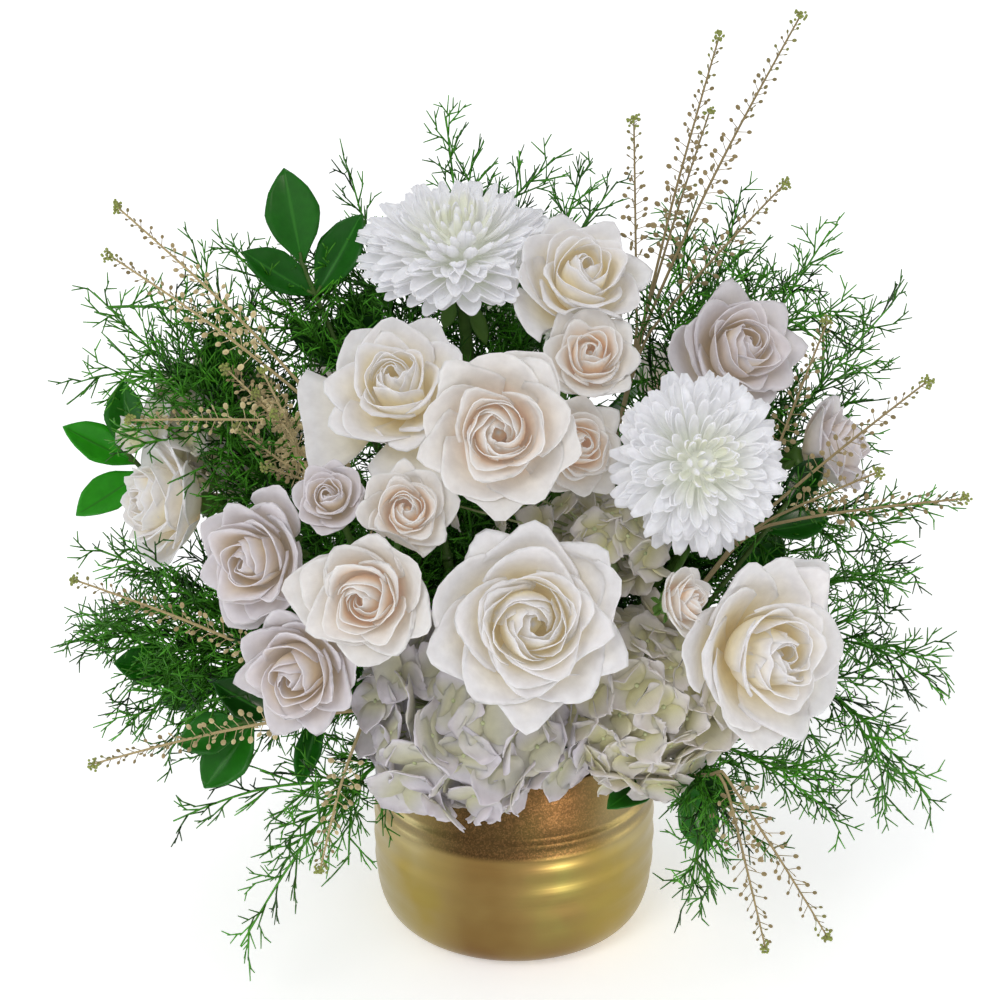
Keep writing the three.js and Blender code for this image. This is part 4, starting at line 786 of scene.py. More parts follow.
def leaf_material(bright):
    """Leathery leaf: a waxed skin that shines, with a pale midrib and side veins that curve to the tip."""
    material = new_material("waxed green leaf", Roughness=0.33, Specular_IOR_Level=0.22)
    tree = material.node_tree
    _, across, along, tone, place = surface_parts(tree)
    body = add_node(tree, MIX, {0: tone, 6: linear("#021D04"), 7: bright}, MIXED, data_type="RGBA")
    body, _ = mottled(tree, place, body, 220, 2, 0.35, [(0.3, "#A8B8A0"), (0.7, "#FFFFFF")])
    off = add_node(tree, MATHS, {0: across, 1: 0.5}, operation="SUBTRACT")
    away = add_node(tree, MATHS, {0: off}, operation="ABSOLUTE")
    rib = add_node(tree, RAMP, {"Fac": away}, stops=[(0.012, "#FFFFFF"), (0.045, "#000000")])
    # side veins: eleven bands that rise from the midrib towards the tip
    slant = add_node(tree, MATHS, {0: away, 1: -0.8, 2: along}, operation="MULTIPLY_ADD")
    beat = add_node(tree, MATHS, {0: slant, 1: 70}, operation="MULTIPLY")
    wave = add_node(tree, MATHS, {0: beat}, operation="SINE")
    veins = add_node(tree, RAMP, {"Fac": wave}, stops=[(0.75, "#000000"), (1, "#4A4A4A")])
    lines = add_node(tree, MIX, {0: 1, 6: rib, 7: veins}, MIXED, data_type="RGBA", blend_type="LIGHTEN")
    pale = add_node(tree, "ShaderNodeRGBToBW", {"Color": lines})
    colour = add_node(tree, MIX, {0: pale, 6: body, 7: linear("#2F7A1E")}, MIXED, data_type="RGBA")
    return coat(material, colour, pale, 0.3, 0.4 * MM)


def foliage_material(name, dark, bright, roughness=0.5):
    """Fine green foliage or stem: each sprig has its own share of dark and bright green."""
    material = new_material(name, Roughness=roughness, Specular_IOR_Level=0.25)
    tree = material.node_tree
    _, _, _, tone, place = surface_parts(tree)
    body = add_node(tree, MIX, {0: tone, 6: linear(dark), 7: bright}, MIXED, data_type="RGBA")
    body, cloud = mottled(tree, place, body, 90, 3, 0.5, [(0.32, "#8C9C86"), (0.62, "#FFFFFF")])
    return coat(material, body, cloud, 0.15, 0.5 * MM)


def straw_material(straw):
    """Dried seed stem: matt straw that greens towards the tip, with darker seeds showing in the pods. Its
    slight glow stands in for light that comes through the papery pods."""
    material = new_material("dried straw", Roughness=0.7, Specular_IOR_Level=0.25, Emission_Color=straw,
                            Emission_Strength=0.09)
    tree = material.node_tree
    _, radial, _, tone, place = surface_parts(tree)
    body = add_node(tree, RAMP, {"Fac": tone}, stops=[
        (0, straw), (0.4, "#9F8D66"), (0.7, "#7A6D48"), (1, "#86993E")])
    seed = add_node(tree, RAMP, {"Fac": radial}, stops=[(0, "#BBAA86"), (0.55, "#EBE3D0"), (1, "#FFFFFF")])
    body = add_node(tree, MIX, {0: 0.7, 6: body, 7: seed}, MIXED, data_type="RGBA", blend_type="MULTIPLY")
    body, cloud = mottled(tree, place, body, 700, 3, 0.4, [(0.35, "#B8AC90"), (0.65, "#FFFFFF")])
    return coat(material, body, cloud, 0.3, 0.3 * MM)


def gold_material(gold, copper):
    """Spun brass-coloured metal with a satin lacquer: broad soft reflections, fine lines that turning left
    round it, and a coppery, speckled shoulder above the ring, partly darkened by painted shade. Its left and
    right sides are painted paler, a painted reflection."""
    material = new_material("satin spun brass", Roughness=0.4, Metallic=1)
    tree = material.node_tree
    place = add_node(tree, "ShaderNodeTexCoord", {}, "Object")
    x = add_node(tree, "ShaderNodeSeparateXYZ", {"Vector": place}, "X")
    # turning lines: noise that changes quickly up the pot and slowly round it
    squash = add_node(tree, "ShaderNodeMapping", {"Vector": place, "Scale": (12, 12, 900)})
    lines = add_node(tree, NOISE, {"Vector": squash, "Scale": 1, "Detail": 4})
    mottle = add_node(tree, NOISE, {"Vector": place, "Scale": 18, "Detail": 3})
    mottled_gold = add_node(tree, RAMP, {"Fac": mottle}, stops=[
        (0.35, "#7D6136"), (0.55, gold), (0.72, "#90884B")])
    # the left and right sides are painted paler: a painted reflection of the bright studio to either side
    aside = add_node(tree, MATHS, {0: x}, operation="ABSOLUTE")
    edges = {"Value": aside, "From Min": 22 * MM, "From Max": 52 * MM, "To Max": 0.85}
    painted_side_reflection = add_node(tree, "ShaderNodeMapRange", edges, interpolation_type="SMOOTHSTEP")
    painted_reflection_gold = add_node(tree, RAMP, {"Fac": mottle}, stops=[(0.4, "#AB9D6F"), (0.6, "#A28D47")])
    base = add_node(tree, MIX, {0: painted_side_reflection, 6: mottled_gold, 7: painted_reflection_gold}, MIXED, data_type="RGBA")
    # the dark copper band above the ring is partly the lacquer's own speckle and partly painted shade from
    # the flowers that overhang it
    shoulder = add_node(tree, "ShaderNodeMapRange", {
        "Value": x.node.outputs["Z"], "From Min": 65 * MM, "From Max": 68 * MM, "To Max": 0.8})
    # the lacquer's metal flakes, drawn 0.7 mm wide so that they show
    flakes = add_node(tree, "ShaderNodeTexVoronoi", {"Vector": place, "Scale": 1500}, "Color")
    speckle = add_node(tree, RAMP, {"Fac": flakes}, stops=[
        (0.2, "#2D2015"), (0.5, copper), (0.85, "#64482E")])
    # less of the dark copper shows at the painted pale sides, so the band's painted shade is darkest at the
    # front and back
    thin = add_node(tree, MATHS, {0: painted_side_reflection, 1: -0.6, 2: 1}, operation="MULTIPLY_ADD")
    bare = add_node(tree, MATHS, {0: thin, 1: shoulder}, operation="MULTIPLY")
    base = add_node(tree, MIX, {0: bare, 6: base, 7: speckle}, MIXED, data_type="RGBA")
    # the speckled coat is matter than the bare lacquer
    rough = add_node(tree, "ShaderNodeMapRange", {"Value": lines, "To Min": 0.26, "To Max": 0.4})
    matt = add_node(tree, MATHS, {0: bare, 1: 0.22, 2: rough}, operation="MULTIPLY_ADD")
    return coat(material, base, lines, 0.15, 0.2 * MM, Roughness=matt)


def foam_material():
    """Wet floral foam: matt phenolic foam, darkened by water, with cells of about 0.6 mm."""
    material = new_material("wet floral foam", Roughness=0.9, Specular_IOR_Level=0.2)
    tree = material.node_tree
    place = add_node(tree, "ShaderNodeTexCoord", {}, "Object")
    cells = add_node(tree, "ShaderNodeTexVoronoi", {"Vector": place, "Scale": 1600}, "Distance")
    colour = add_node(tree, RAMP, {"Fac": cells}, stops=[(0.1, "#1E3B22"), (0.7, "#3F6B45")])
    return coat(material, colour, cells, 0.7, 0.6 * MM)


# ---------------------------------------------------------------- roses

# Whorls from the heart out: how open, petals, half of how far round each reaches, and where it starts:
# where the solids have it, anywhere, or between the petals of the last one that the solids have.
FULL_ROSE = [
    (-0.2, 1, 190, "free"), (-0.16, 2, 100, "free"), (-0.1, 3, 84, "free"), (-0.04, 3, 78, "free"),
    (0.03, 3, 74, "free"), (0.12, 2, 84, "solid"), (0.2, 3, 70, "free"), (0.38, 3, 68, "free"),
    (0.5, 3, 66, "solid"), (0.7, 4, 60, "free"), (0.92, 5, 47, "solid"), (0.99, 5, 40, "between"),
]
OPENING_ROSE = [
    (-0.2, 1, 190, "free"), (-0.15, 2, 100, "free"), (-0.08, 3, 84, "free"), (-0.01, 3, 78, "free"),
    (0.08, 3, 76, "solid"), (0.3, 3, 72, "free"), (0.52, 3, 70, "solid"), (0.92, 5, 48, "solid"),
    (1.0, 5, 42, "between"),
]
SPRAY_ROSE = [
    (-0.2, 1, 190, "free"), (-0.14, 2, 96, "free"), (-0.05, 2, 88, "free"), (0.05, 3, 78, "free"),
    (0.3, 3, 68, "solid"), (0.56, 4, 64, "free"), (0.86, 4, 56, "solid"), (0.96, 4, 48, "between"),
]
OPENING = {"rose_upper_left", "rose_centre", "rose_right"}
# The guard petals that a rose kept, outside its whorls: how open, bearing, half of how far round each
# reaches, and whether its edge is straight.
GUARDS = {
    "rose_upper_left": [(1.68, 190, 36, True), (1.68, 284, 42, False)],
    "rose_right": [(1.2, 72, 36, False), (1.15, 196, 34, False)],
    "rose_centre": [(1.12, 60, 36, False)],
    "spray_rose_left": [(1.22, 48, 34, False), (1.2, 222, 34, False)],
    "spray_rose_mid": [(1.25, 168, 40, False)],
    "spray_rose_top": [(1.3, 236, 42, False)],
    "spray_rose_right": [(1.2, 204, 38, False)],
}


class RosePetal:
    """One petal: how open it is, how far round it reaches, its bearing, how far its lip curls and rises, its
    waviness, how much it has of the heart's tone, and whether its edge is straight."""

    def __init__(self, opening, wrap, bearing, curl, rise, wave, tone, straight=False):
        self.opening, self.wrap, self.bearing = opening, math.radians(wrap), bearing
        self.curl, self.rise, self.wave, self.tone, self.straight = curl, rise, wave, tone, straight


def rose_petals(bloom):
    """The petals of a rose from the heart out, the solids' own bearings kept."""
    whorls = SPRAY_ROSE if bloom.kind == "spray" else OPENING_ROSE if bloom.name in OPENING else FULL_ROSE
    draw = draws(bloom.rank + 11)
    free = np.random.default_rng(bloom.rank + 500)
    petals, shared = [], 0
    for opening, count, wrap, place in whorls:
        if place == "solid":
            start = draw() * 2 * math.pi + shared
            shared += 1
        elif place == "between":
            start += math.pi / count
        else:
            start = free.random() * 2 * math.pi
        for i in range(count):
            jitter = (draw() if place == "solid" else free.random()) - 0.5
            opened = opening + jitter * (0.1 if opening > 0.25 else 0.03)
            curl = float(smooth((opening + 0.25) / 0.8)) * mix(0.7, 1.1, free.random())
            rise = (free.random() - 0.5) * 0.05 - 0.05 * (opening < -0.12)
            bearing = start + i / count * 2 * math.pi + free.normal() * 0.08
            petals.append(RosePetal(opened, wrap * mix(0.92, 1.08, free.random()), bearing, curl, rise,
                                    free.random(3), float(np.clip(1.05 - opening * 1.6, 0, 1))))
    for opening, bearing, wrap, straight in GUARDS.get(bloom.name, ()):
        curl = 0.3 if straight else 0.75
        petals.append(RosePetal(opening, wrap, math.radians(bearing), curl, 0, free.random(3), 0.0, straight))
    return petals


LARGEST_ROSE = 86  # the width that the settings' roll and tuck are for
PROFILE_STEPS = 80
FULL_ROLL = 3.9  # radians that a lip can roll back


def rose_petal_points(bloom, petal, sheet, settings):
    """A rose petal's points in the bloom's own frame. Each column of the sheet follows the petal's
    profile; past a crease that runs down from the petal's point, its lip rolls back."""
    w, h, o = bloom.width, bloom.height, petal.opening
    scale = w / LARGEST_ROSE
    # the profile as radius and height: from the root, round the bend, to the lip
    root = np.array([w * 0.06, h * 0.05])
    bend = np.array([mix(0.25, 0.4, o) * w, mix(0.5, 0.16, o) * h])
    lip = np.array([max(mix(0.1, 0.55, o), 0.012) * w, (mix(0.98, 0.62, max(o, 0) ** 1.3) + petal.rise) * h])
    u = np.linspace(-1, 1, sheet.columns + 1)[:, None]
    t = np.linspace(0, 1, PROFILE_STEPS + 1)[None, :]
    side = np.abs(u)
    slope_r, slope_z = (2 * (1 - t) * (bend[k] - root[k]) + 2 * t * (lip[k] - bend[k]) for k in (0, 1))
    speed = np.hypot(slope_r, slope_z)
    crease = 1.03 - petal.curl * 0.44 * side ** 0.85
    past = np.maximum(t - crease, 0) * speed
    tight = np.minimum(past / (settings.roll * scale * mix(1.5, 1.0, petal.curl)), FULL_ROLL)
    gentle = petal.curl * settings.reflex * smooth((t - 0.6) / 0.4)
    angle = np.arctan2(slope_z, slope_r) - gentle - tight
    step = speed / PROFILE_STEPS
    r, z = (start + np.concatenate([np.zeros_like(u), np.cumsum((part * step)[:, 1:], axis=1)], 1)
            for start, part in zip(root, (np.cos(angle), np.sin(angle))))
    # the petal's point comes where the solids have it
    middle = sheet.columns // 2
    grow = (lip[0] - root[0]) / max(r[middle, -1] - root[0], 1) if o > 0.3 else 1.0
    r = root[0] + (r - root[0]) * grow
    z = z + (lip[1] - z[middle, -1]) * t
    # a round outline with a soft point, sampled at the sheet's rows, which crowd towards the lip
    rows = 1 - (1 - np.linspace(0, 1, sheet.rows + 1)) ** 1.5
    point = 0.085 * petal.curl * np.maximum(0, 1 - side / 0.34) + 0.012 * np.sin(u * 9 + petal.wave[2] * 6.3)
    if petal.straight:
        outline = 0.84 / np.cos(u * petal.wrap) * (1 - 0.1 * side ** 8)
    else:
        outline = 0.94 - 0.26 * side ** 2.2 + point
    reach = np.minimum(rows[None, :] * outline, 1)
    at = reach * PROFILE_STEPS
    low = np.minimum(at.astype(int), PROFILE_STEPS - 1)
    part = at - low
    column = np.arange(sheet.columns + 1)[:, None]
    r = mix(r[column, low], r[column, low + 1], part)
    z = mix(z[column, low], z[column, low + 1], part)
    spread = petal.wrap * (0.5 + 0.5 * np.sin(np.minimum(reach / 0.55, 1) * math.pi / 2))
    a = petal.bearing + u * spread
    beat, start, height = petal.wave
    wave = np.sin(u * 4.4 * (0.7 + beat) + start * 6.3) * reach ** 3 * w * 0.02 * (0.3 + height)
    # one side of a petal lies under the next, most of all in the heart
    tuck = settings.tuck * scale * (1.5 if o < 0 else 1.0)
    r = r + tuck * u * np.minimum(1, rows * 2.5) + wave * smooth((o + 0.4) / 0.5)
    z = z + wave * 0.6
    points = np.stack([r * np.cos(a), r * np.sin(a), z], -1)
    across = np.rint((sheet.points[:, 0] + 1) / 2 * sheet.columns).astype(int)
    along = np.rint(sheet.points[:, 1] * sheet.rows).astype(int)
    return points[across, along], np.stack([(u[across, 0] + 1) / 2, rows[along]], 1)


def make_rose(bloom, sheet, bud, settings, material):
    sheaf = Sheaf()
    # the last, unopened petals close the heart
    heart = bloom.place(np.array([[0, 0, bloom.height * 0.46]]))
    sheaf.balls(bud, heart, np.array([0.065, 0.065, 0.17]) * bloom.width, 1.0, bloom.turn)
    for petal in rose_petals(bloom):
        points, uv = rose_petal_points(bloom, petal, sheet, settings)
        sheaf.copy(sheet, give_way(bloom.place(points), bloom), petal.tone, uv)
    slot = next(p["material_slot"] for p in frame["record"]["subparts"] if p["node"] == bloom.name)
    return sheaf.make(f"{bloom.name}_petals", material, slot, [bloom.name], settings.thick)


# ---------------------------------------------------------------- chrysanthemums


FULLEST = 0.62  # where along it a petal is widest
# How many degrees a chrysanthemum's head has turned up towards the light from its stem's lean.
TURNED_UP = {"mum_top": 18}


def make_mum(bloom, sheet, bud, settings, material):
    """A head of long petals in a golden spiral, from upright ones in the middle to level ones outside."""
    sheaf = Sheaf()
    tilt = math.radians(TURNED_UP.get(bloom.name, 0))
    axis = bloom.axis * math.cos(tilt) + unit(UP - bloom.axis * bloom.axis[2]) * math.sin(tilt)
    turn = turn_to(axis)
    foot_of_head = bloom.middle - axis * bloom.height / 2
    free = np.random.default_rng(bloom.rank + 900)
    u, v = sheet.u, sheet.v
    w, h = bloom.width, bloom.height
    middle = np.array([0, 0, h * 0.42])
    # the disc that bears the petals
    sheaf.balls(bud, foot_of_head + turn @ middle, np.array([0.15, 0.15, 0.17]) * w, 0.5, turn)
    # a petal's outline: narrow at its root, full at two thirds, and round at its tip
    round_tip = np.sqrt(np.maximum(1 - ((v - FULLEST) / 0.4) ** 2, 0.03))
    outline = np.where(v < FULLEST, mix(0.34, 1.0, smooth(v / FULLEST)), round_tip)
    for i in range(settings.petals):
        t = (i + 0.5) / settings.petals
        a = i * GOLDEN + free.normal() * 0.12
        lift = math.radians(mix(84, -18, t ** 0.72) + free.normal() * 7)
        out = np.array([math.cos(a), math.sin(a), 0])
        rise = h * 0.58 if lift > 0 else h * 0.42
        tip = middle + out * math.cos(lift) * w / 2 + UP * math.sin(lift) * rise
        tip = middle + (tip - middle) * mix(0.82, 1.0, free.random()) * mix(0.93, 1.0, smooth(t * 3))
        foot = np.array([0, 0, mix(0.56, 0.1, t ** 0.8) * h]) + out * w * mix(0.01, 0.13, t)
        # inner petals curve in over the middle, outer ones arch and dip at their ends
        arch = mix(0.26, 0.1, t) * np.linalg.norm(tip - foot)
        away = unit(np.cross(np.cross(tip - foot, UP) + 1e-6, tip - foot))
        bow = out * arch if t < 0.45 else away * arch * 0.9
        knee = mix(foot, tip, 0.55) + bow
        s = v[:, None]
        spine = (1 - s) ** 2 * foot + 2 * s * (1 - s) * knee + s ** 2 * tip
        ahead = unit(2 * (1 - s) * (knee - foot) + 2 * s * (tip - knee))
        across = unit(np.cross(out, UP))
        across = unit(across + 0.25 * free.normal() * out)
        face = unit(np.cross(across, ahead))
        half = settings.petal_width / 2 * mix(0.42, 1.0, smooth(t * 1.3)) * (w / 90)
        half = half * mix(0.85, 1.1, free.random())
        trough = (u ** 2 - 0.3) * half * mix(0.75, 0.4, t)
        points = spine + across * (u * outline * half)[:, None] + face * (trough * outline)[:, None]
        placed = give_way(foot_of_head + points @ turn.T, bloom)
        sheaf.copy(sheet, placed, float(np.clip(0.8 - t * 4.5, 0, 1)))
    return sheaf.make(f"{bloom.name}_petals", material, "white", [bloom.name], settings.thick)


# ---------------------------------------------------------------- hydrangeas


STALK = 3.4  # the radius of a head's stem
# Florets that lean out of a head, over the rim or into the gap beside it: their middles.
LEANING = {
    "hydrangea_front": [
        (35, -85, 137), (21, -88, 127), (2, -92, 120), (-17, -92, 120), (26, -82, 146), (-40, -88, 120),
        (-58, -80, 124), (10, -92, 130)],
    "hydrangea_right": [(50, -85, 120), (69, -82, 116), (83, -76, 128), (40, -80, 128), (34, -76, 150)],
    "hydrangea_centre": [
        (22, -62, 250), (4, -58, 256), (-14, -56, 258), (-30, -60, 250), (12, -64, 240), (-6, -58, 246)],
    "hydrangea_left": [
        (-172, -12, 274), (-158, -18, 266), (-184, -8, 264), (-146, -14, 272), (-160, -8, 280)],
}


def make_hydrangea(bloom, sheet, bud, settings, material, green):
    """A round head of four-sepalled florets, each on a thread from the branching core."""
    sheaf, stalks = Sheaf(), Sheaf()
    free = np.random.default_rng(bloom.rank + 1300)
    u, v = sheet.u, sheet.v
    radius = bloom.width / 2
    span = max(settings.span * bloom.width, settings.least)
    count = int(round(4 * math.pi * radius ** 2 / (span ** 2 * 0.34)))
    skeleton = Skeleton(bloom.name)
    line = skeleton.route(bloom.middle, STALK)
    gone = np.linalg.norm(line - bloom.middle, axis=1) > radius * 0.5
    stem = np.concatenate([line[gone], [bloom.middle]])
    below = unit(line[gone][-1] - bloom.middle)
    leaning = LEANING.get(bloom.name, [])
    for i in range(count + len(leaning)):
        z = 1 - 2 * (i + 0.5) / count
        a = i * GOLDEN
        if i < count:
            level = math.sqrt(1 - z * z)
            outward = unit(np.array([level * math.cos(a), level * math.sin(a), z]))
            if outward @ below > 0.86:
                continue
            centre = bloom.middle + outward * (radius * mix(0.84, 0.98, free.random()) - span * 0.06)
        else:
            centre = np.array(leaning[i - count], float)
            outward = unit(centre - bloom.middle + np.array([0, -12, 0]))
        facing = unit(outward + free.normal(size=3) * 0.36)
        first, second = sideways(facing)
        turn = free.random() * math.pi / 2
        core = bloom.middle + outward * radius * 0.3
        elbow = mix(core, centre, 0.6) + free.normal(size=3) * 1.5
        stalks.rod(np.array([core, elbow, centre]), (1.1, 0.6, 0.5), 4, 0.7)
        size = span / 2 * mix(0.85, 1.12, free.random())
        toothed = free.random() < 0.3
        for k in range(4):
            b = turn + k * math.pi / 2 + free.normal() * 0.06
            along = first * math.cos(b) + second * math.sin(b)
            across = np.cross(facing, along)
            grow = size * mix(0.88, 1.12, free.random())
            # broad outline, widest past the middle, round or softly pointed at its end
            half = grow * 0.62 * np.sqrt(np.maximum(np.sin(math.pi * np.clip(v * 0.9 + 0.06, 0, 1)), 0.02))
            reach = grow * v * (1 - 0.16 * np.abs(u) ** 2)
            if toothed:
                reach = reach * (1 + 0.06 * np.cos(u * 9 + k) * (v > 0.7))
            cup = mix(-0.2, 0.48, free.random()) * grow
            lift = cup * v ** 2 + 0.05 * grow * np.sin(u * 3 + k * 2) * v ** 2
            lift = lift + (k % 2) * 0.7 + (u * half) ** 2 * 0.012
            points = centre + along * reach[:, None] + across * (u * half)[:, None] + facing * lift[:, None]
            inner = float(np.clip(0.12 + free.normal() * 0.15, 0, 1))
            sheaf.copy(sheet, give_way(points, bloom, 0.6), inner)
        stalks.balls(bud, centre + facing * 0.6, [1.3] * 3, 1.0)
    stalks.rod(stem, STALK, 10, 0.35)
    stalks.balls(bud, bloom.middle, [radius * 0.32] * 3, 0.4)
    sheaf.make(f"{bloom.name}_florets", material, "lilac", [bloom.name], settings.thick)
    stalks.make(f"{bloom.name}_stalks", green, "stem", [bloom.name])


# ---------------------------------------------------------------- stems with their calyxes


def blade_points(root, tip, width, faces, sheet, curl):
    """A leaf blade from its root to its tip, with its upper side turned to face a direction."""
    u, v = sheet.u, sheet.v
    along = tip - root
    across = unit(np.cross(along, faces))
    rise = unit(np.cross(across, along))
    outline = np.interp(v, [0, 0.06, 0.3, 0.55, 0.8, 0.93, 1], [0.05, 0.14, 0.72, 1.0, 0.68, 0.28, 0.02])
    outline = mix(outline, np.sin(math.pi * v ** 1.1) ** 0.8, 0.3)
    edge = np.abs(u) ** 1.3
    lift = curl * edge * outline - curl * 0.6 * np.sin(v * math.pi) * (1 - edge)
    return root + v[:, None] * along + (u * outline * width / 2)[:, None] * across + lift[:, None] * rise


def make_stem(node, sheet, green):
    """A flower stem node: round stems, swollen joints, and a calyx with five sepals under each bloom."""
    sheaf, blades = Sheaf(), Sheaf()
    skeleton = Skeleton(node)
    radius = {"stem_mum": 3.2, "stem_rose": 2.6}.get("_".join(node.split("_")[:2]), 1.9)
    # the blooms whose feet are on this stem
    carried = [b for b in ALL_BLOOMS
               if b.kind != "hydrangea" and skeleton.nearest(b.foot)[1] < b.width * 0.14]
    free = np.random.default_rng(len(node) * 7 + len(carried))
    for bloom in carried:
        line = ending_at(skeleton.route(bloom.foot - bloom.axis * 5, radius), bloom.foot - bloom.axis)
        thin = radius if len(carried) == 1 else radius * 0.85
        sheaf.rod(line, np.linspace(radius, thin, len(line)), 10, 0.45)
        base = bloom.width * (0.1 if bloom.kind != "rose" else 0.09)
        heights = np.array([-2.2 * base, -1.6 * base, -0.9 * base, -0.3 * base, 0.1 * base])
        swell = np.array([thin, base * 0.62, base * 0.9, base * 1.05, base * 0.8])
        sheaf.rod(bloom.foot + heights[:, None] * bloom.axis, swell, 12, 0.55)
        for k in range(5):
            a = k / 5 * 2 * math.pi + free.random()
            out = bloom.turn @ np.array([math.cos(a), math.sin(a), 0])
            root = bloom.foot - bloom.axis * base * 0.5 + out * base * 0.9
            tip = root + out * bloom.width * mix(0.12, 0.2, free.random())
            tip = tip - bloom.axis * bloom.width * mix(0.02, 0.14, free.random())
            blades.copy(sheet, blade_points(root, tip, bloom.width * 0.08, bloom.axis, sheet, 0.8), 0.5)
    for share in (0.35, 0.6):
        point, way = along_line(line, share)
        joint = np.array([point - way * 2, point, point + way * 2])
        sheaf.rod(joint, (radius, radius * 1.35, radius), 10, 0.3)
    sheaf.make(f"{node}_green", green, "stem", [node])
    if blades.size:
        blades.make(f"{node}_sepals", green, "stem", [node], 0.5)


# ---------------------------------------------------------------- plume asparagus


def blocked(points, gap=0.0):
    """Whether points are in a bloom, in the pot or under the table."""
    pot_side, pot_top, table = 74, 108, 2  # with a little room to spare
    inside_pot = (np.hypot(points[..., 0], points[..., 1]) < pot_side) & (points[..., 2] < pot_top)
    return in_a_bloom(points, gap) | inside_pot | (points[..., 2] < table)


SHORTEST = 6  # a branch that the blooms leave less room than this doesn't grow


class Plumage:
    """The twigs and needles of a fern, gathered as starts, ways and lengths."""

    def __init__(self, free, settings):
        self.free, self.settings = free, settings
        self.rows = []

    def add(self, starts, ways, lengths, radii, tones):
        self.rows.append([np.atleast_2d(starts), np.atleast_2d(ways), np.atleast_1d(lengths),
                          np.broadcast_to(radii, len(np.atleast_1d(lengths))), np.atleast_1d(tones)])

    def needles(self, starts, ways, lengths, tone, flat):
        """Straight needles in turn on both sides of many twigs at once, in the flat spray they lie in."""
        free, gap = self.free, self.settings.needle_gap
        most = int(max(lengths.max() / gap, 1))
        plane = unit(np.cross(flat, ways))
        for k in range(most):
            away = (k + 0.6) * gap
            on = lengths > away
            sign = 1 if k % 2 else -1
            spin = unit(plane[on] + free.normal(size=(on.sum(), 3)) * 0.08)
            angle = np.radians(35 + free.normal(size=on.sum()) * 4)[:, None]
            heading = unit(ways[on] * np.cos(angle) + sign * spin * np.sin(angle))
            size = self.settings.needle * mix(0.7, 1.1, free.random(on.sum()))
            size = size * mix(1, 0.55, away / lengths[on])
            self.add(starts[on] + ways[on] * away, heading, size, 0.5, np.clip(tone[on] + 0.1, 0, 1))

    def branch(self, start, way, length, tone):
        """One branch with twigs in turn along it, their needles, and its own fine tip."""
        free = self.free
        gap = self.settings.twig_gap
        count = max(int(length / gap), 1)
        away = (np.arange(count) + 0.5 + free.random(count) * 0.4) / count * length
        plane = unit(np.cross(way, free.normal(size=3)))
        sign = np.where(np.arange(count) % 2, 1.0, -1.0)[:, None]
        spin = unit(plane + free.normal(size=(count, 3)) * 0.1)
        angle = np.radians(37 + free.normal(size=count) * 4)[:, None]
        heading = unit(way * np.cos(angle) + sign * spin * np.sin(angle))
        size = self.settings.twig * mix(1.0, 0.5, away / length) * mix(0.7, 1.15, free.random(count))
        starts = start + way * away[:, None]
        tones = np.clip(tone + free.normal(size=count) * 0.12, 0, 1)
        clear = ~blocked(starts + heading * size[:, None], -1.0)
        self.add(start, way, length, 0.6, tone)
        self.add(starts[clear], heading[clear], size[clear], 0.52, tones[clear])
        if clear.any():
            self.needles(starts[clear], heading[clear], size[clear], tones[clear], np.cross(way, plane))

    def plume(self, line, longest, start, crowd):
        """Branches all round an axis in a golden spiral, shorter towards its tip."""
        free = self.free
        reach = distances(line)[-1]
        count = max(int(reach * (1 - start) / crowd), 2)
        for i in range(count):
            share = start + (1 - start) * (i + free.random() * 0.5) / count
            at, way = along_line(line, share)
            lean = math.radians(mix(54, 30, share))
            heading = way * math.cos(lean) + around(way, i * GOLDEN) * math.sin(lean)
            heading = unit(heading + free.normal(size=3) * 0.08)
            size = longest * mix(1.0, 0.34, float(smooth((share - 0.35) / 0.65)))
            size *= mix(0.7, 1.12, free.random())
            while size > SHORTEST and blocked(at + heading * size, -1.0):
                size *= 0.7
            if size > SHORTEST and not blocked(at, -4.0):
                self.branch(at, heading, size, float(np.clip(free.normal(0.5, 0.24), 0, 1)))

    def make(self, sheaf, needle):
        """Grows the gathered twigs and needles that don't end in a bloom or the pot."""
        columns = [np.concatenate(column) for column in zip(*self.rows)]
        starts, ways, lengths = columns[:3]
        keep = ~blocked(starts + ways * lengths[:, None], -0.5)
        starts, ways, lengths, radii, tones = (column[keep] for column in columns)
        first, second = sideways(ways)
        radii = radii[:, None]
        sheaf.scatter(needle, starts, first * radii, second * radii, ways * lengths[:, None], tones)


def side_plume(sheaf, plumage, arch, settings):
    """A side plume along an arch, as far as it runs clear of the blooms."""
    hidden = blocked(arch[1:], -2.0)
    clear = int(np.argmax(hidden)) + 1 if hidden.any() else len(arch)
    if clear >= 4 and inside_reach(arch[clear - 1]):
        arch = arch[:clear]
        sheaf.rod(arch, np.linspace(0.8, 0.35, len(arch)), 4, 0.6)
        plumage.plume(arch, settings.branch * 0.62, 0.12, settings.spacing * 1.1)


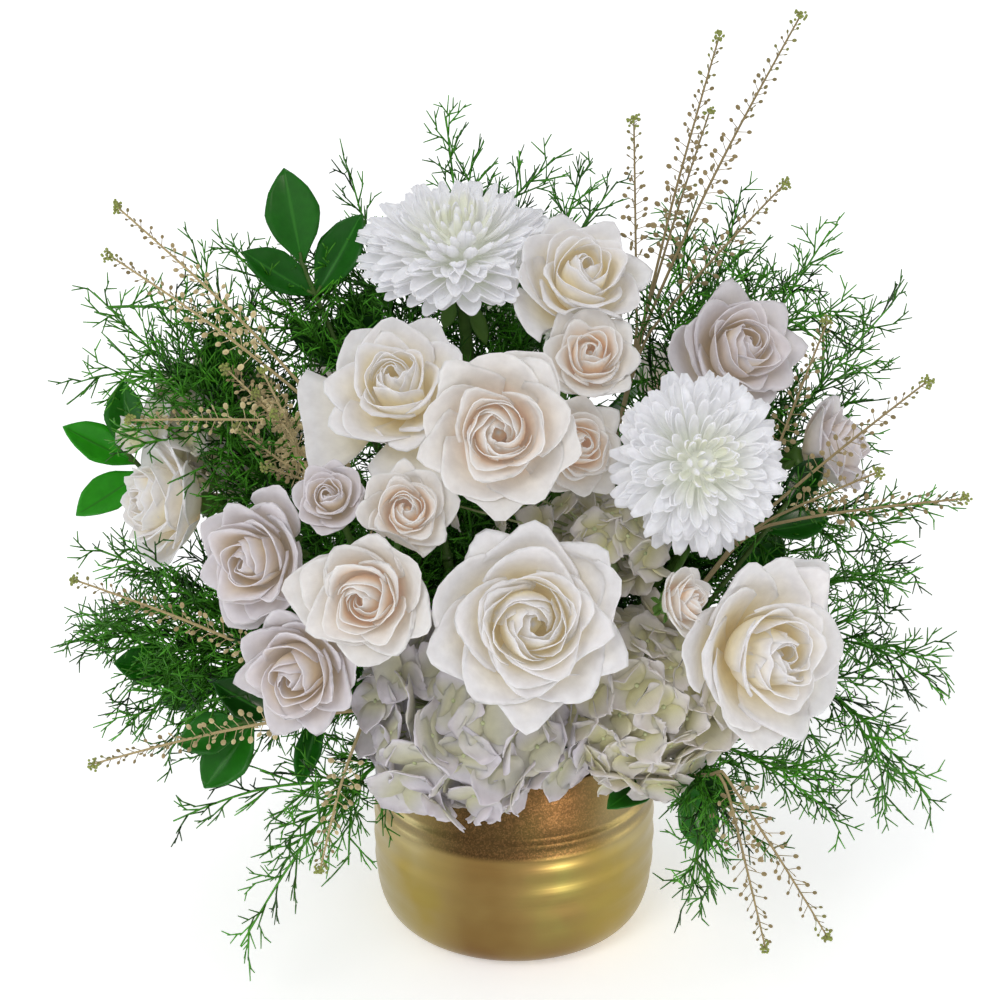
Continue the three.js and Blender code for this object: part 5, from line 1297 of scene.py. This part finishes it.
def make_asparagus(node, fullness, tips, further, needle, settings, material):
    """Arching fronds: each axis bears side plumes, and they and it bear branches of needles."""
    sheaf = Sheaf()
    skeleton = Skeleton(node)
    free = np.random.default_rng(sum(map(ord, node)))
    plumage = Plumage(free, settings)
    axes = []
    marks = np.linspace(0, 1, 8)[:, None]
    for tip in tips:
        line = ending_at(skeleton.route(tip, 1.5, 5.0), tip)
        axes.append(line)
        sheaf.rod(line, np.linspace(1.4, 0.45, len(line)), 5, 0.75)
        plumage.plume(line, settings.branch, 0.16, settings.spacing / min(1.0, 0.55 + fullness / 2))
        count = int(distances(line)[-1] * 0.6 / settings.plume_gap * fullness)
        for i in range(count):
            share = 0.22 + 0.62 * (i + 0.5) / count
            at, way = along_line(line, share)
            side = around(way, i * GOLDEN + 1.0)
            size = settings.plume * mix(1.0, 0.55, share) * mix(0.75, 1.1, free.random())
            heading = unit(way * 0.8 + side * 0.62)
            # a side plume arches out and its tip sinks a little
            arch = at + heading * size * marks + (side * 0.18 - UP * 0.16) * size * marks ** 2
            side_plume(sheaf, plumage, arch, settings)
    for tip in further:
        # it parts from the nearest axis some 70 mm before its tip
        tip = np.array(tip, float)
        spots = np.concatenate([line[len(line) // 4:] for line in axes])
        away = np.linalg.norm(spots - tip, axis=1)
        root = spots[int(np.argmin(np.abs(away - max(70, away.min()))))]
        knee = mix(root, tip, 0.5) + UP * 6 + free.normal(size=3) * 3
        arch = (1 - marks) ** 2 * root + 2 * marks * (1 - marks) * knee + marks ** 2 * tip
        side_plume(sheaf, plumage, arch, settings)
    plumage.make(sheaf, needle)
    sheaf.make(f"{node}_plumes", material, "fern", [node])


# ---------------------------------------------------------------- broad-leaved shoots


def make_shoot(node, faces, shoots, sheet, settings, leaf, green):
    """A woody green shoot with leathery leaves on short stalks."""
    sheaf, blades = Sheaf(), Sheaf()
    skeleton = Skeleton(node)
    free = np.random.default_rng(sum(map(ord, node)) + 3)
    u, v = sheet.u, sheet.v
    for shoot_tip, leaves in shoots:
        line = skeleton.route(shoot_tip, 1.7)
        sheaf.rod(line, np.linspace(1.7, 1.2, len(line)), 8, 0.4)
        for share, tip, width in leaves:
            root = along_line(line, share * 0.99)[0]
            # a leaf is as long as the solid's own
            sizes = (1, 0.85, 0.7)
            ends = [mix(root, np.array(tip, float), size) for size in sizes]
            fit = int(np.argmin([skeleton.nearest(end)[1] for end in ends]))
            end, wide = ends[fit], width * sizes[fit] * 1.04
            sheaf.rod(np.array([root, mix(root, end, 0.12)]), (1.0, 0.8), 6, 0.5)
            points = blade_points(root, end, wide, faces, sheet, settings.curl)
            ripple = np.sin(v * 15 + free.random() * 6) * np.abs(u) ** 2 * 0.5
            rise = unit(np.cross(unit(np.cross(end - root, faces)), end - root))
            points = points + ripple[:, None] * rise
            # leaves at the far left are a brighter green
            far_left = smooth((-200 - end[0]) / 16)
            blades.copy(sheet, points, float(mix(0.08 + free.random() * 0.45, 0.95, far_left)))
    sheaf.make(f"{node}_shoots", green, "leaf", [node])
    blades.make(f"{node}_leaves", leaf, "leaf", [node], settings.thick)


# ---------------------------------------------------------------- dried pennycress


TIP_BUDS = 26


def seed_spike(sheaf, line, start, spread, fresh, settings, shapes, free, dense=1.0):
    """Pods on threads all round a spike, from a share of its length up to a green, budded tip."""
    pod, bud, needle = shapes
    reach = distances(line)[-1] * (1 - start)
    count = int(reach / settings.spacing * dense)
    shares = start + (1 - start) * (np.arange(count) + free.random(count) * 0.5) / count
    ripe = (shares - start) / (1 - start)
    at, way = along_line(line, shares)
    side = around(way, (np.arange(count) * GOLDEN + free.random(count) * 0.5)[:, None])
    heading = unit(side + way * mix(0.25, 0.9, ripe)[:, None] + free.normal(size=(count, 3)) * 0.15)
    stalk = settings.stalk * spread * mix(1.0, 0.35, ripe ** 1.5) * mix(0.8, 1.15, free.random(count))
    ends = at + heading * stalk[:, None]
    keep = ~in_a_bloom(ends, -1.0) & (ends[:, 2] > 3)
    at, heading, stalk, ends, ripe, way = (a[keep] for a in (at, heading, stalk, ends, ripe, way))
    tone = np.clip(mix(fresh, 0.9, ripe ** 2) + free.normal(size=len(ripe)) * 0.08, 0, 1)
    a, b = sideways(heading)
    sheaf.scatter(needle, at, a * 0.27, b * 0.27, heading * (stalk * 1.15)[:, None], tone)
    size = settings.pod / 2 * mix(1.1, 0.55, ripe) * mix(0.85, 1.15, free.random(len(ripe)))
    thick = unit(np.cross(heading, way) + free.normal(size=heading.shape) * 0.3)
    wide = unit(np.cross(thick, heading))
    centre = ends + heading * size[:, None] * 0.8
    sheaf.scatter(pod, centre, wide * size[:, None] * 0.88, heading * size[:, None] * 1.12,
                  thick * size[:, None] * 0.75, tone)
    # the unopened buds crowd round the tip
    crowd = unit(free.normal(size=(TIP_BUDS, 3)) + way[-1] * 0.6)
    sheaf.balls(bud, line[-1] + crowd * (1.0 + 2.6 * free.random((TIP_BUDS, 1))), [0.75] * 3, 1.0)


# Short, crowded side spikes where the left plant's stalks part: their roots and tips.
CROWDED = {
    "pennycress_left_high": [
        ((-104, -24, 262), (-122, -26, 292)), ((-104, -28, 258), (-112, -42, 288)),
        ((-100, -30, 252), (-130, -34, 278)), ((-108, -26, 272), (-136, -24, 304)),
        ((-96, -32, 250), (-116, -48, 264)), ((-104, -26, 268), (-118, -34, 306))],
}


def make_pennycress(node, fresh, bare, spread, fork, tips, shapes, settings, material):
    sheaf = Sheaf()
    skeleton = Skeleton(node)
    free = np.random.default_rng(sum(map(ord, node)) + 11)
    for tip in tips:
        line = ending_at(skeleton.route(tip, 1.2, 5.0), tip)
        parted = int(np.argmin(np.linalg.norm(line - np.array(fork, float), axis=1)))
        spike = line[parted:]
        sheaf.rod(line, np.linspace(1.45, 0.45, len(line)), 6, fresh * 0.8 + 0.1)
        seed_spike(sheaf, spike, bare, spread, fresh, settings, shapes, free)
    for root, tip in CROWDED.get(node, ()):
        root, tip = np.array(root, float), np.array(tip, float)
        # each grows from the nearest stalk
        start = skeleton.points[skeleton.nearest(root)[0]]
        spike = even(np.array([start, root, mix(root, tip, 0.5) + free.normal(size=3) * 2, tip]), 4.0)
        sheaf.rod(spike, np.linspace(1.0, 0.4, len(spike)), 5, 0.1)
        seed_spike(sheaf, spike, 0.2, spread, fresh, settings, shapes, free, 2.0)
    sheaf.make(f"{node}_seeds", material, "straw", [node])


# ---------------------------------------------------------------- operators


class CENTERPIECE_OT_pot(bpy.types.Operator):
    """Spins the satin gold pot: a soft belly, fine turned grooves, a raised ring and a rolled rim"""

    bl_idname = "centerpiece.pot"
    bl_label = "Gold pot"

    def execute(self, context):
        size = sizes_of(context, "pot")
        profile = pot_profile(size)
        nothing_selected()
        bpy.ops.mesh.primitive_circle_add(vertices=160, radius=profile[0][0] * MM, fill_type="NGON")
        pot = context.object
        pot.name = "gold_pot"
        bpy.ops.object.mode_set(mode="EDIT")
        bpy.ops.mesh.select_mode(type="FACE")
        bpy.ops.mesh.select_all(action="SELECT")
        bpy.ops.mesh.flip_normals()
        bpy.ops.mesh.select_mode(type="EDGE")
        bpy.ops.mesh.select_all(action="SELECT")
        for (low_r, low_z), (r, z) in zip(profile, profile[1:]):
            bpy.ops.mesh.extrude_edges_move(TRANSFORM_OT_translate={"value": (0, 0, (z - low_z) * MM)})
            bpy.ops.transform.resize(value=(r / low_r, r / low_r, 1), center_override=(0, 0, z * MM))
        bpy.ops.mesh.edge_face_add()
        bpy.ops.mesh.select_all(action="SELECT")
        bpy.ops.mesh.normals_make_consistent(inside=False)
        bpy.ops.object.mode_set(mode="OBJECT")
        bpy.ops.object.shade_smooth_by_angle(angle=math.radians(50))
        dress(pot, gold_material(size.gold, size.copper), ["pot"])
        return {"FINISHED"}


def pot_profile(size):
    """Radius and height up the outside of the pot, over its rim and down inside to its floor."""
    # from the foot a curve rises to the belly's widest part, and from there it draws in slowly
    steps = 24
    curve = [(size.foot, 0), (size.foot + 20, 0.8), (size.belly, size.belly_at * 0.22),
             (size.belly, size.belly_at)]
    outside = []
    for i in range(steps + 1):
        t = i / steps
        shares = [(1 - t) ** 3, 3 * t * (1 - t) ** 2, 3 * t * t * (1 - t), t ** 3]
        outside.append(tuple(sum(s * p[k] for s, p in zip(shares, curve)) for k in (0, 1)))
    outside += [(size.belly - 0.0016 * up ** 2, size.belly_at + up) for up in range(2, 20, 2)]
    # soft waves that the spinner's roller left on the belly
    height, apart = 0.32, 13.5  # millimetres
    ridges = [height * math.cos((z - size.belly_at) / apart * 2 * math.pi) * float(smooth((z - 18) / 12))
              for r, z in outside]
    outside = [(r + ridge, z) for (r, z), ridge in zip(outside, ridges)]
    top = size.belly - 0.6
    neck = size.belly - 2.6
    upper = [
        (top, 65.5), (top + 0.1, 66.8), (top - 0.5, 68.2), (top - 1.0, 70), (top - 0.9, 72),
        (top - 0.7, 73.4), (neck + 0.9, 74.8), (neck - 0.3, 76), (neck - 0.4, 78), (neck - 0.2, 81),
        (neck - 0.6, 84), (mix(neck - 0.4, size.rim, 0.3), 89), (mix(neck, size.rim, 0.62), 95),
        (size.rim + 0.1, size.height - 3), (size.rim + 0.5, size.height - 1.6), (size.rim, size.height - 0.3),
        (size.rim - 0.9, size.height), (size.rim - 1.9, size.height - 0.4),
    ]
    within = size.belly - size.wall
    inside = [(size.rim - size.wall, size.height - 2), (within - 3, 76), (within - 1, 60),
              (within, size.belly_at), (within - 5, 16), (size.foot + 4, 5), (size.foot - 4, 4)]
    return outside + upper + inside


class CENTERPIECE_OT_foam(bpy.types.Operator):
    """Gives the wet floral foam its open cells"""

    bl_idname = "centerpiece.foam"
    bl_label = "Floral foam"

    def execute(self, context):
        foam = frame["nodes"]["floral_foam"]
        foam.data.materials.clear()
        foam.data.materials.append(foam_material())
        return {"FINISHED"}


class CENTERPIECE_OT_roses(bpy.types.Operator):
    """Rolls each rose's petals from its heart to its reflexed outer whorl"""

    bl_idname = "centerpiece.roses"
    bl_label = "Roses"

    def execute(self, context):
        sheet, bud = sheet_shape(12, 18), bud_shape()
        sizes = sizes_of(context, "rose")
        looks = {tone: petal_material(tone, getattr(sizes, tone)) for tone in ("ivory", "peach", "pearl")}
        for bloom in ALL_BLOOMS:
            if bloom.kind in ("rose", "spray"):
                make_rose(bloom, sheet, bud, sizes, looks[bloom.tone])
        return {"FINISHED"}


class CENTERPIECE_OT_mums(bpy.types.Operator):
    """Sets the chrysanthemums' petals in a golden spiral"""

    bl_idname = "centerpiece.chrysanthemums"
    bl_label = "Chrysanthemums"

    def execute(self, context):
        sheet, bud = sheet_shape(4, 8), bud_shape()
        sizes = sizes_of(context, "mum")
        look = petal_material("snow", sizes.white)
        for bloom in ALL_BLOOMS:
            if bloom.kind == "mum":
                make_mum(bloom, sheet, bud, sizes, look)
        return {"FINISHED"}


class CENTERPIECE_OT_hydrangeas(bpy.types.Operator):
    """Covers each hydrangea head with four-sepalled florets"""

    bl_idname = "centerpiece.hydrangeas"
    bl_label = "Hydrangeas"

    def execute(self, context):
        sheet, bud = sheet_shape(6, 5), bud_shape()
        sizes = sizes_of(context, "hydrangea")
        looks = {tone: petal_material(tone, getattr(sizes, tone)) for tone in ("lilac", "cream")}
        green = foliage_material("pale hydrangea stem", "#6B8A4A", linear("#CDD3A2"))
        for bloom in ALL_BLOOMS:
            if bloom.kind == "hydrangea":
                make_hydrangea(bloom, sheet, bud, sizes, looks[bloom.tone], green)
        return {"FINISHED"}


class CENTERPIECE_OT_stems(bpy.types.Operator):
    """Grows the flower stems along the frame's routes, with calyxes and sepals"""

    bl_idname = "centerpiece.stems"
    bl_label = "Flower stems"

    def execute(self, context):
        sheet = sheet_shape(4, 6)
        green = foliage_material("fresh flower stem", "#2C4F18", linear("#6F9C43"), 0.45)
        for node in sorted(frame["nodes"]):
            if node.startswith("stem_"):
                make_stem(node, sheet, green)
        return {"FINISHED"}


class CENTERPIECE_OT_asparagus(bpy.types.Operator):
    """Grows the plume asparagus: arching fronds, branches and needles"""

    bl_idname = "centerpiece.asparagus"
    bl_label = "Plume asparagus"

    def execute(self, context):
        needle, sizes = needle_shape(), sizes_of(context, "asparagus")
        look = foliage_material("fresh asparagus fern", "#14330C", sizes.green)
        for node, (fullness, tips, further) in FRONDS.items():
            make_asparagus(node, fullness, tips, further, needle, sizes, look)
        return {"FINISHED"}


class CENTERPIECE_OT_leaves(bpy.types.Operator):
    """Sets the glossy broad leaves on their shoots"""

    bl_idname = "centerpiece.leaves"
    bl_label = "Broad leaves"

    def execute(self, context):
        sheet, sizes = sheet_shape(8, 14), sizes_of(context, "leaf")
        leaf = leaf_material(sizes.green)
        green = foliage_material("green woody shoot", "#3A5526", linear("#6F8F45"))
        for node, (faces, shoots) in SHOOTS.items():
            make_shoot(node, faces, shoots, sheet, sizes, leaf, green)
        return {"FINISHED"}


class CENTERPIECE_OT_pennycress(bpy.types.Operator):
    """Grows the dried pennycress with its round seed pods"""

    bl_idname = "centerpiece.pennycress"
    bl_label = "Dried pennycress"

    def execute(self, context):
        shapes = (pod_shape(), bud_shape(), needle_shape())
        sizes = sizes_of(context, "cress")
        look = straw_material(sizes.straw)
        for node, row in SEED_SPRAYS.items():
            make_pennycress(node, *row, shapes, sizes, look)
        return {"FINISHED"}


def light_world(scene, stage):
    """A white studio: bright overhead, dimmer and a little cool towards the horizon."""
    world = bpy.data.worlds.new("white studio")
    scene.world = world
    world.use_nodes = True
    tree = world.node_tree
    background = tree.nodes["Background"]
    background.inputs["Strength"].default_value = stage.sky
    place = add_node(tree, "ShaderNodeTexCoord", {}, "Generated")
    height = add_node(tree, "ShaderNodeSeparateXYZ", {"Vector": place}, "Z")
    colour = add_node(tree, RAMP, {"Fac": height}, stops=[
        (0, "#B8BBC4"), (0.25, "#D8DBE2"), (0.8, "#FFFFFF")])
    tree.links.new(colour, background.inputs["Color"])


class CENTERPIECE_OT_stage(bpy.types.Operator):
    """Sets the pale floor, soft studio lights and the camera"""

    bl_idname = "centerpiece.stage"
    bl_label = "Studio"

    def execute(self, context):
        stage = sizes_of(context, "stage")
        nothing_selected()
        bpy.ops.mesh.primitive_plane_add(size=1, location=(0, 1.5, 0))
        floor = context.object
        floor.name = "studio_floor"
        bpy.ops.object.mode_set(mode="EDIT")
        bpy.ops.transform.resize(value=(stage.floor_width * MM, stage.floor_width * 2 * MM, 1))
        bpy.ops.object.mode_set(mode="OBJECT")
        bpy.ops.object.transform_apply()
        floor.data.materials.append(new_material(
            "white studio floor", Roughness=0.8, Specular_IOR_Level=0, Base_Color=linear("#FCFCFC"),
            Emission_Color=(1, 1, 1, 1), Emission_Strength=stage.table_glow))
        context.scene.view_settings.view_transform = "Standard"
        light_world(context.scene, stage)
        bpy.ops.object.light_add(type="SUN", rotation=(math.radians(42), math.radians(-30), 0))
        key = context.object
        key.name = "soft_key"
        key.data.energy = stage.key
        key.data.angle = math.radians(26)
        key.data.color = (1.0, 1.0, 1.0)
        # cards that only polished metal shows
        for name, place, width, share, tint in (
                ("front_card", (0.40, -0.62, 0.05), 0.1, 2.6, (1.0, 0.85, 0.8)),
                ("right_card", (0.62, -0.02, 0.16), 0.3, 0.9, (1.0, 0.97, 0.75)),
                ("left_card", (-0.68, -0.04, 0.16), 0.3, 0.85, (0.85, 0.95, 1.0))):
            aim = (Vector((0, 0, 0.05)) - Vector(place)).to_track_quat("-Z", "Y").to_euler()
            bpy.ops.object.light_add(type="AREA", radius=width, location=place, rotation=aim)
            card = context.object
            card.name = name
            card.data.energy = stage.card * share
            card.data.color = tint
            card.visible_diffuse = card.visible_camera = False
        bpy.ops.object.camera_add(
            location=(-stage.aside * MM, -stage.distance * MM, stage.height * MM),
            rotation=(math.pi / 2 - stage.pitch, 0, 0))
        camera = context.object
        camera.data.sensor_width = 36
        camera.data.lens = stage.lens
        context.scene.camera = camera
        return {"FINISHED"}


class CENTERPIECE_PT_panel(bpy.types.Panel):
    """Lists the centerpiece's settings and the pieces that they shape"""

    bl_idname = "CENTERPIECE_PT_panel"
    bl_label = "Floral centerpiece"
    bl_space_type = "VIEW_3D"
    bl_region_type = "UI"
    bl_category = "Centerpiece"

    def draw(self, context):
        for step, name in STEPS.items():
            box = self.layout.box()
            box.operator(f"centerpiece.{step}")
            if name:
                group = getattr(context.scene.centerpiece, name)
                for key in group.__annotations__:
                    box.prop(group, key)


# The operators in their order, each with its group of settings.
STEPS = {
    "stage": "stage", "pot": "pot", "foam": "", "roses": "rose", "chrysanthemums": "mum",
    "hydrangeas": "hydrangea", "stems": "", "asparagus": "asparagus", "leaves": "leaf", "pennycress": "cress",
}

CLASSES = [
    PotSettings, RoseSettings, MumSettings, HydrangeaSettings, AsparagusSettings, LeafSettings, CressSettings,
    StageSettings, CenterpieceSettings, CENTERPIECE_OT_stage, CENTERPIECE_OT_pot, CENTERPIECE_OT_foam,
    CENTERPIECE_OT_roses, CENTERPIECE_OT_mums, CENTERPIECE_OT_hydrangeas, CENTERPIECE_OT_stems,
    CENTERPIECE_OT_asparagus, CENTERPIECE_OT_leaves, CENTERPIECE_OT_pennycress, CENTERPIECE_PT_panel,
]


def register():
    for kind in CLASSES:
        bpy.utils.register_class(kind)
    bpy.types.Scene.centerpiece = PointerProperty(type=CenterpieceSettings)


def unregister():
    del bpy.types.Scene.centerpiece
    for kind in reversed(CLASSES):
        bpy.utils.unregister_class(kind)


def main():
    register()
    for step in STEPS:
        getattr(bpy.ops.centerpiece, step)()


if __name__ == "__main__":
    main()
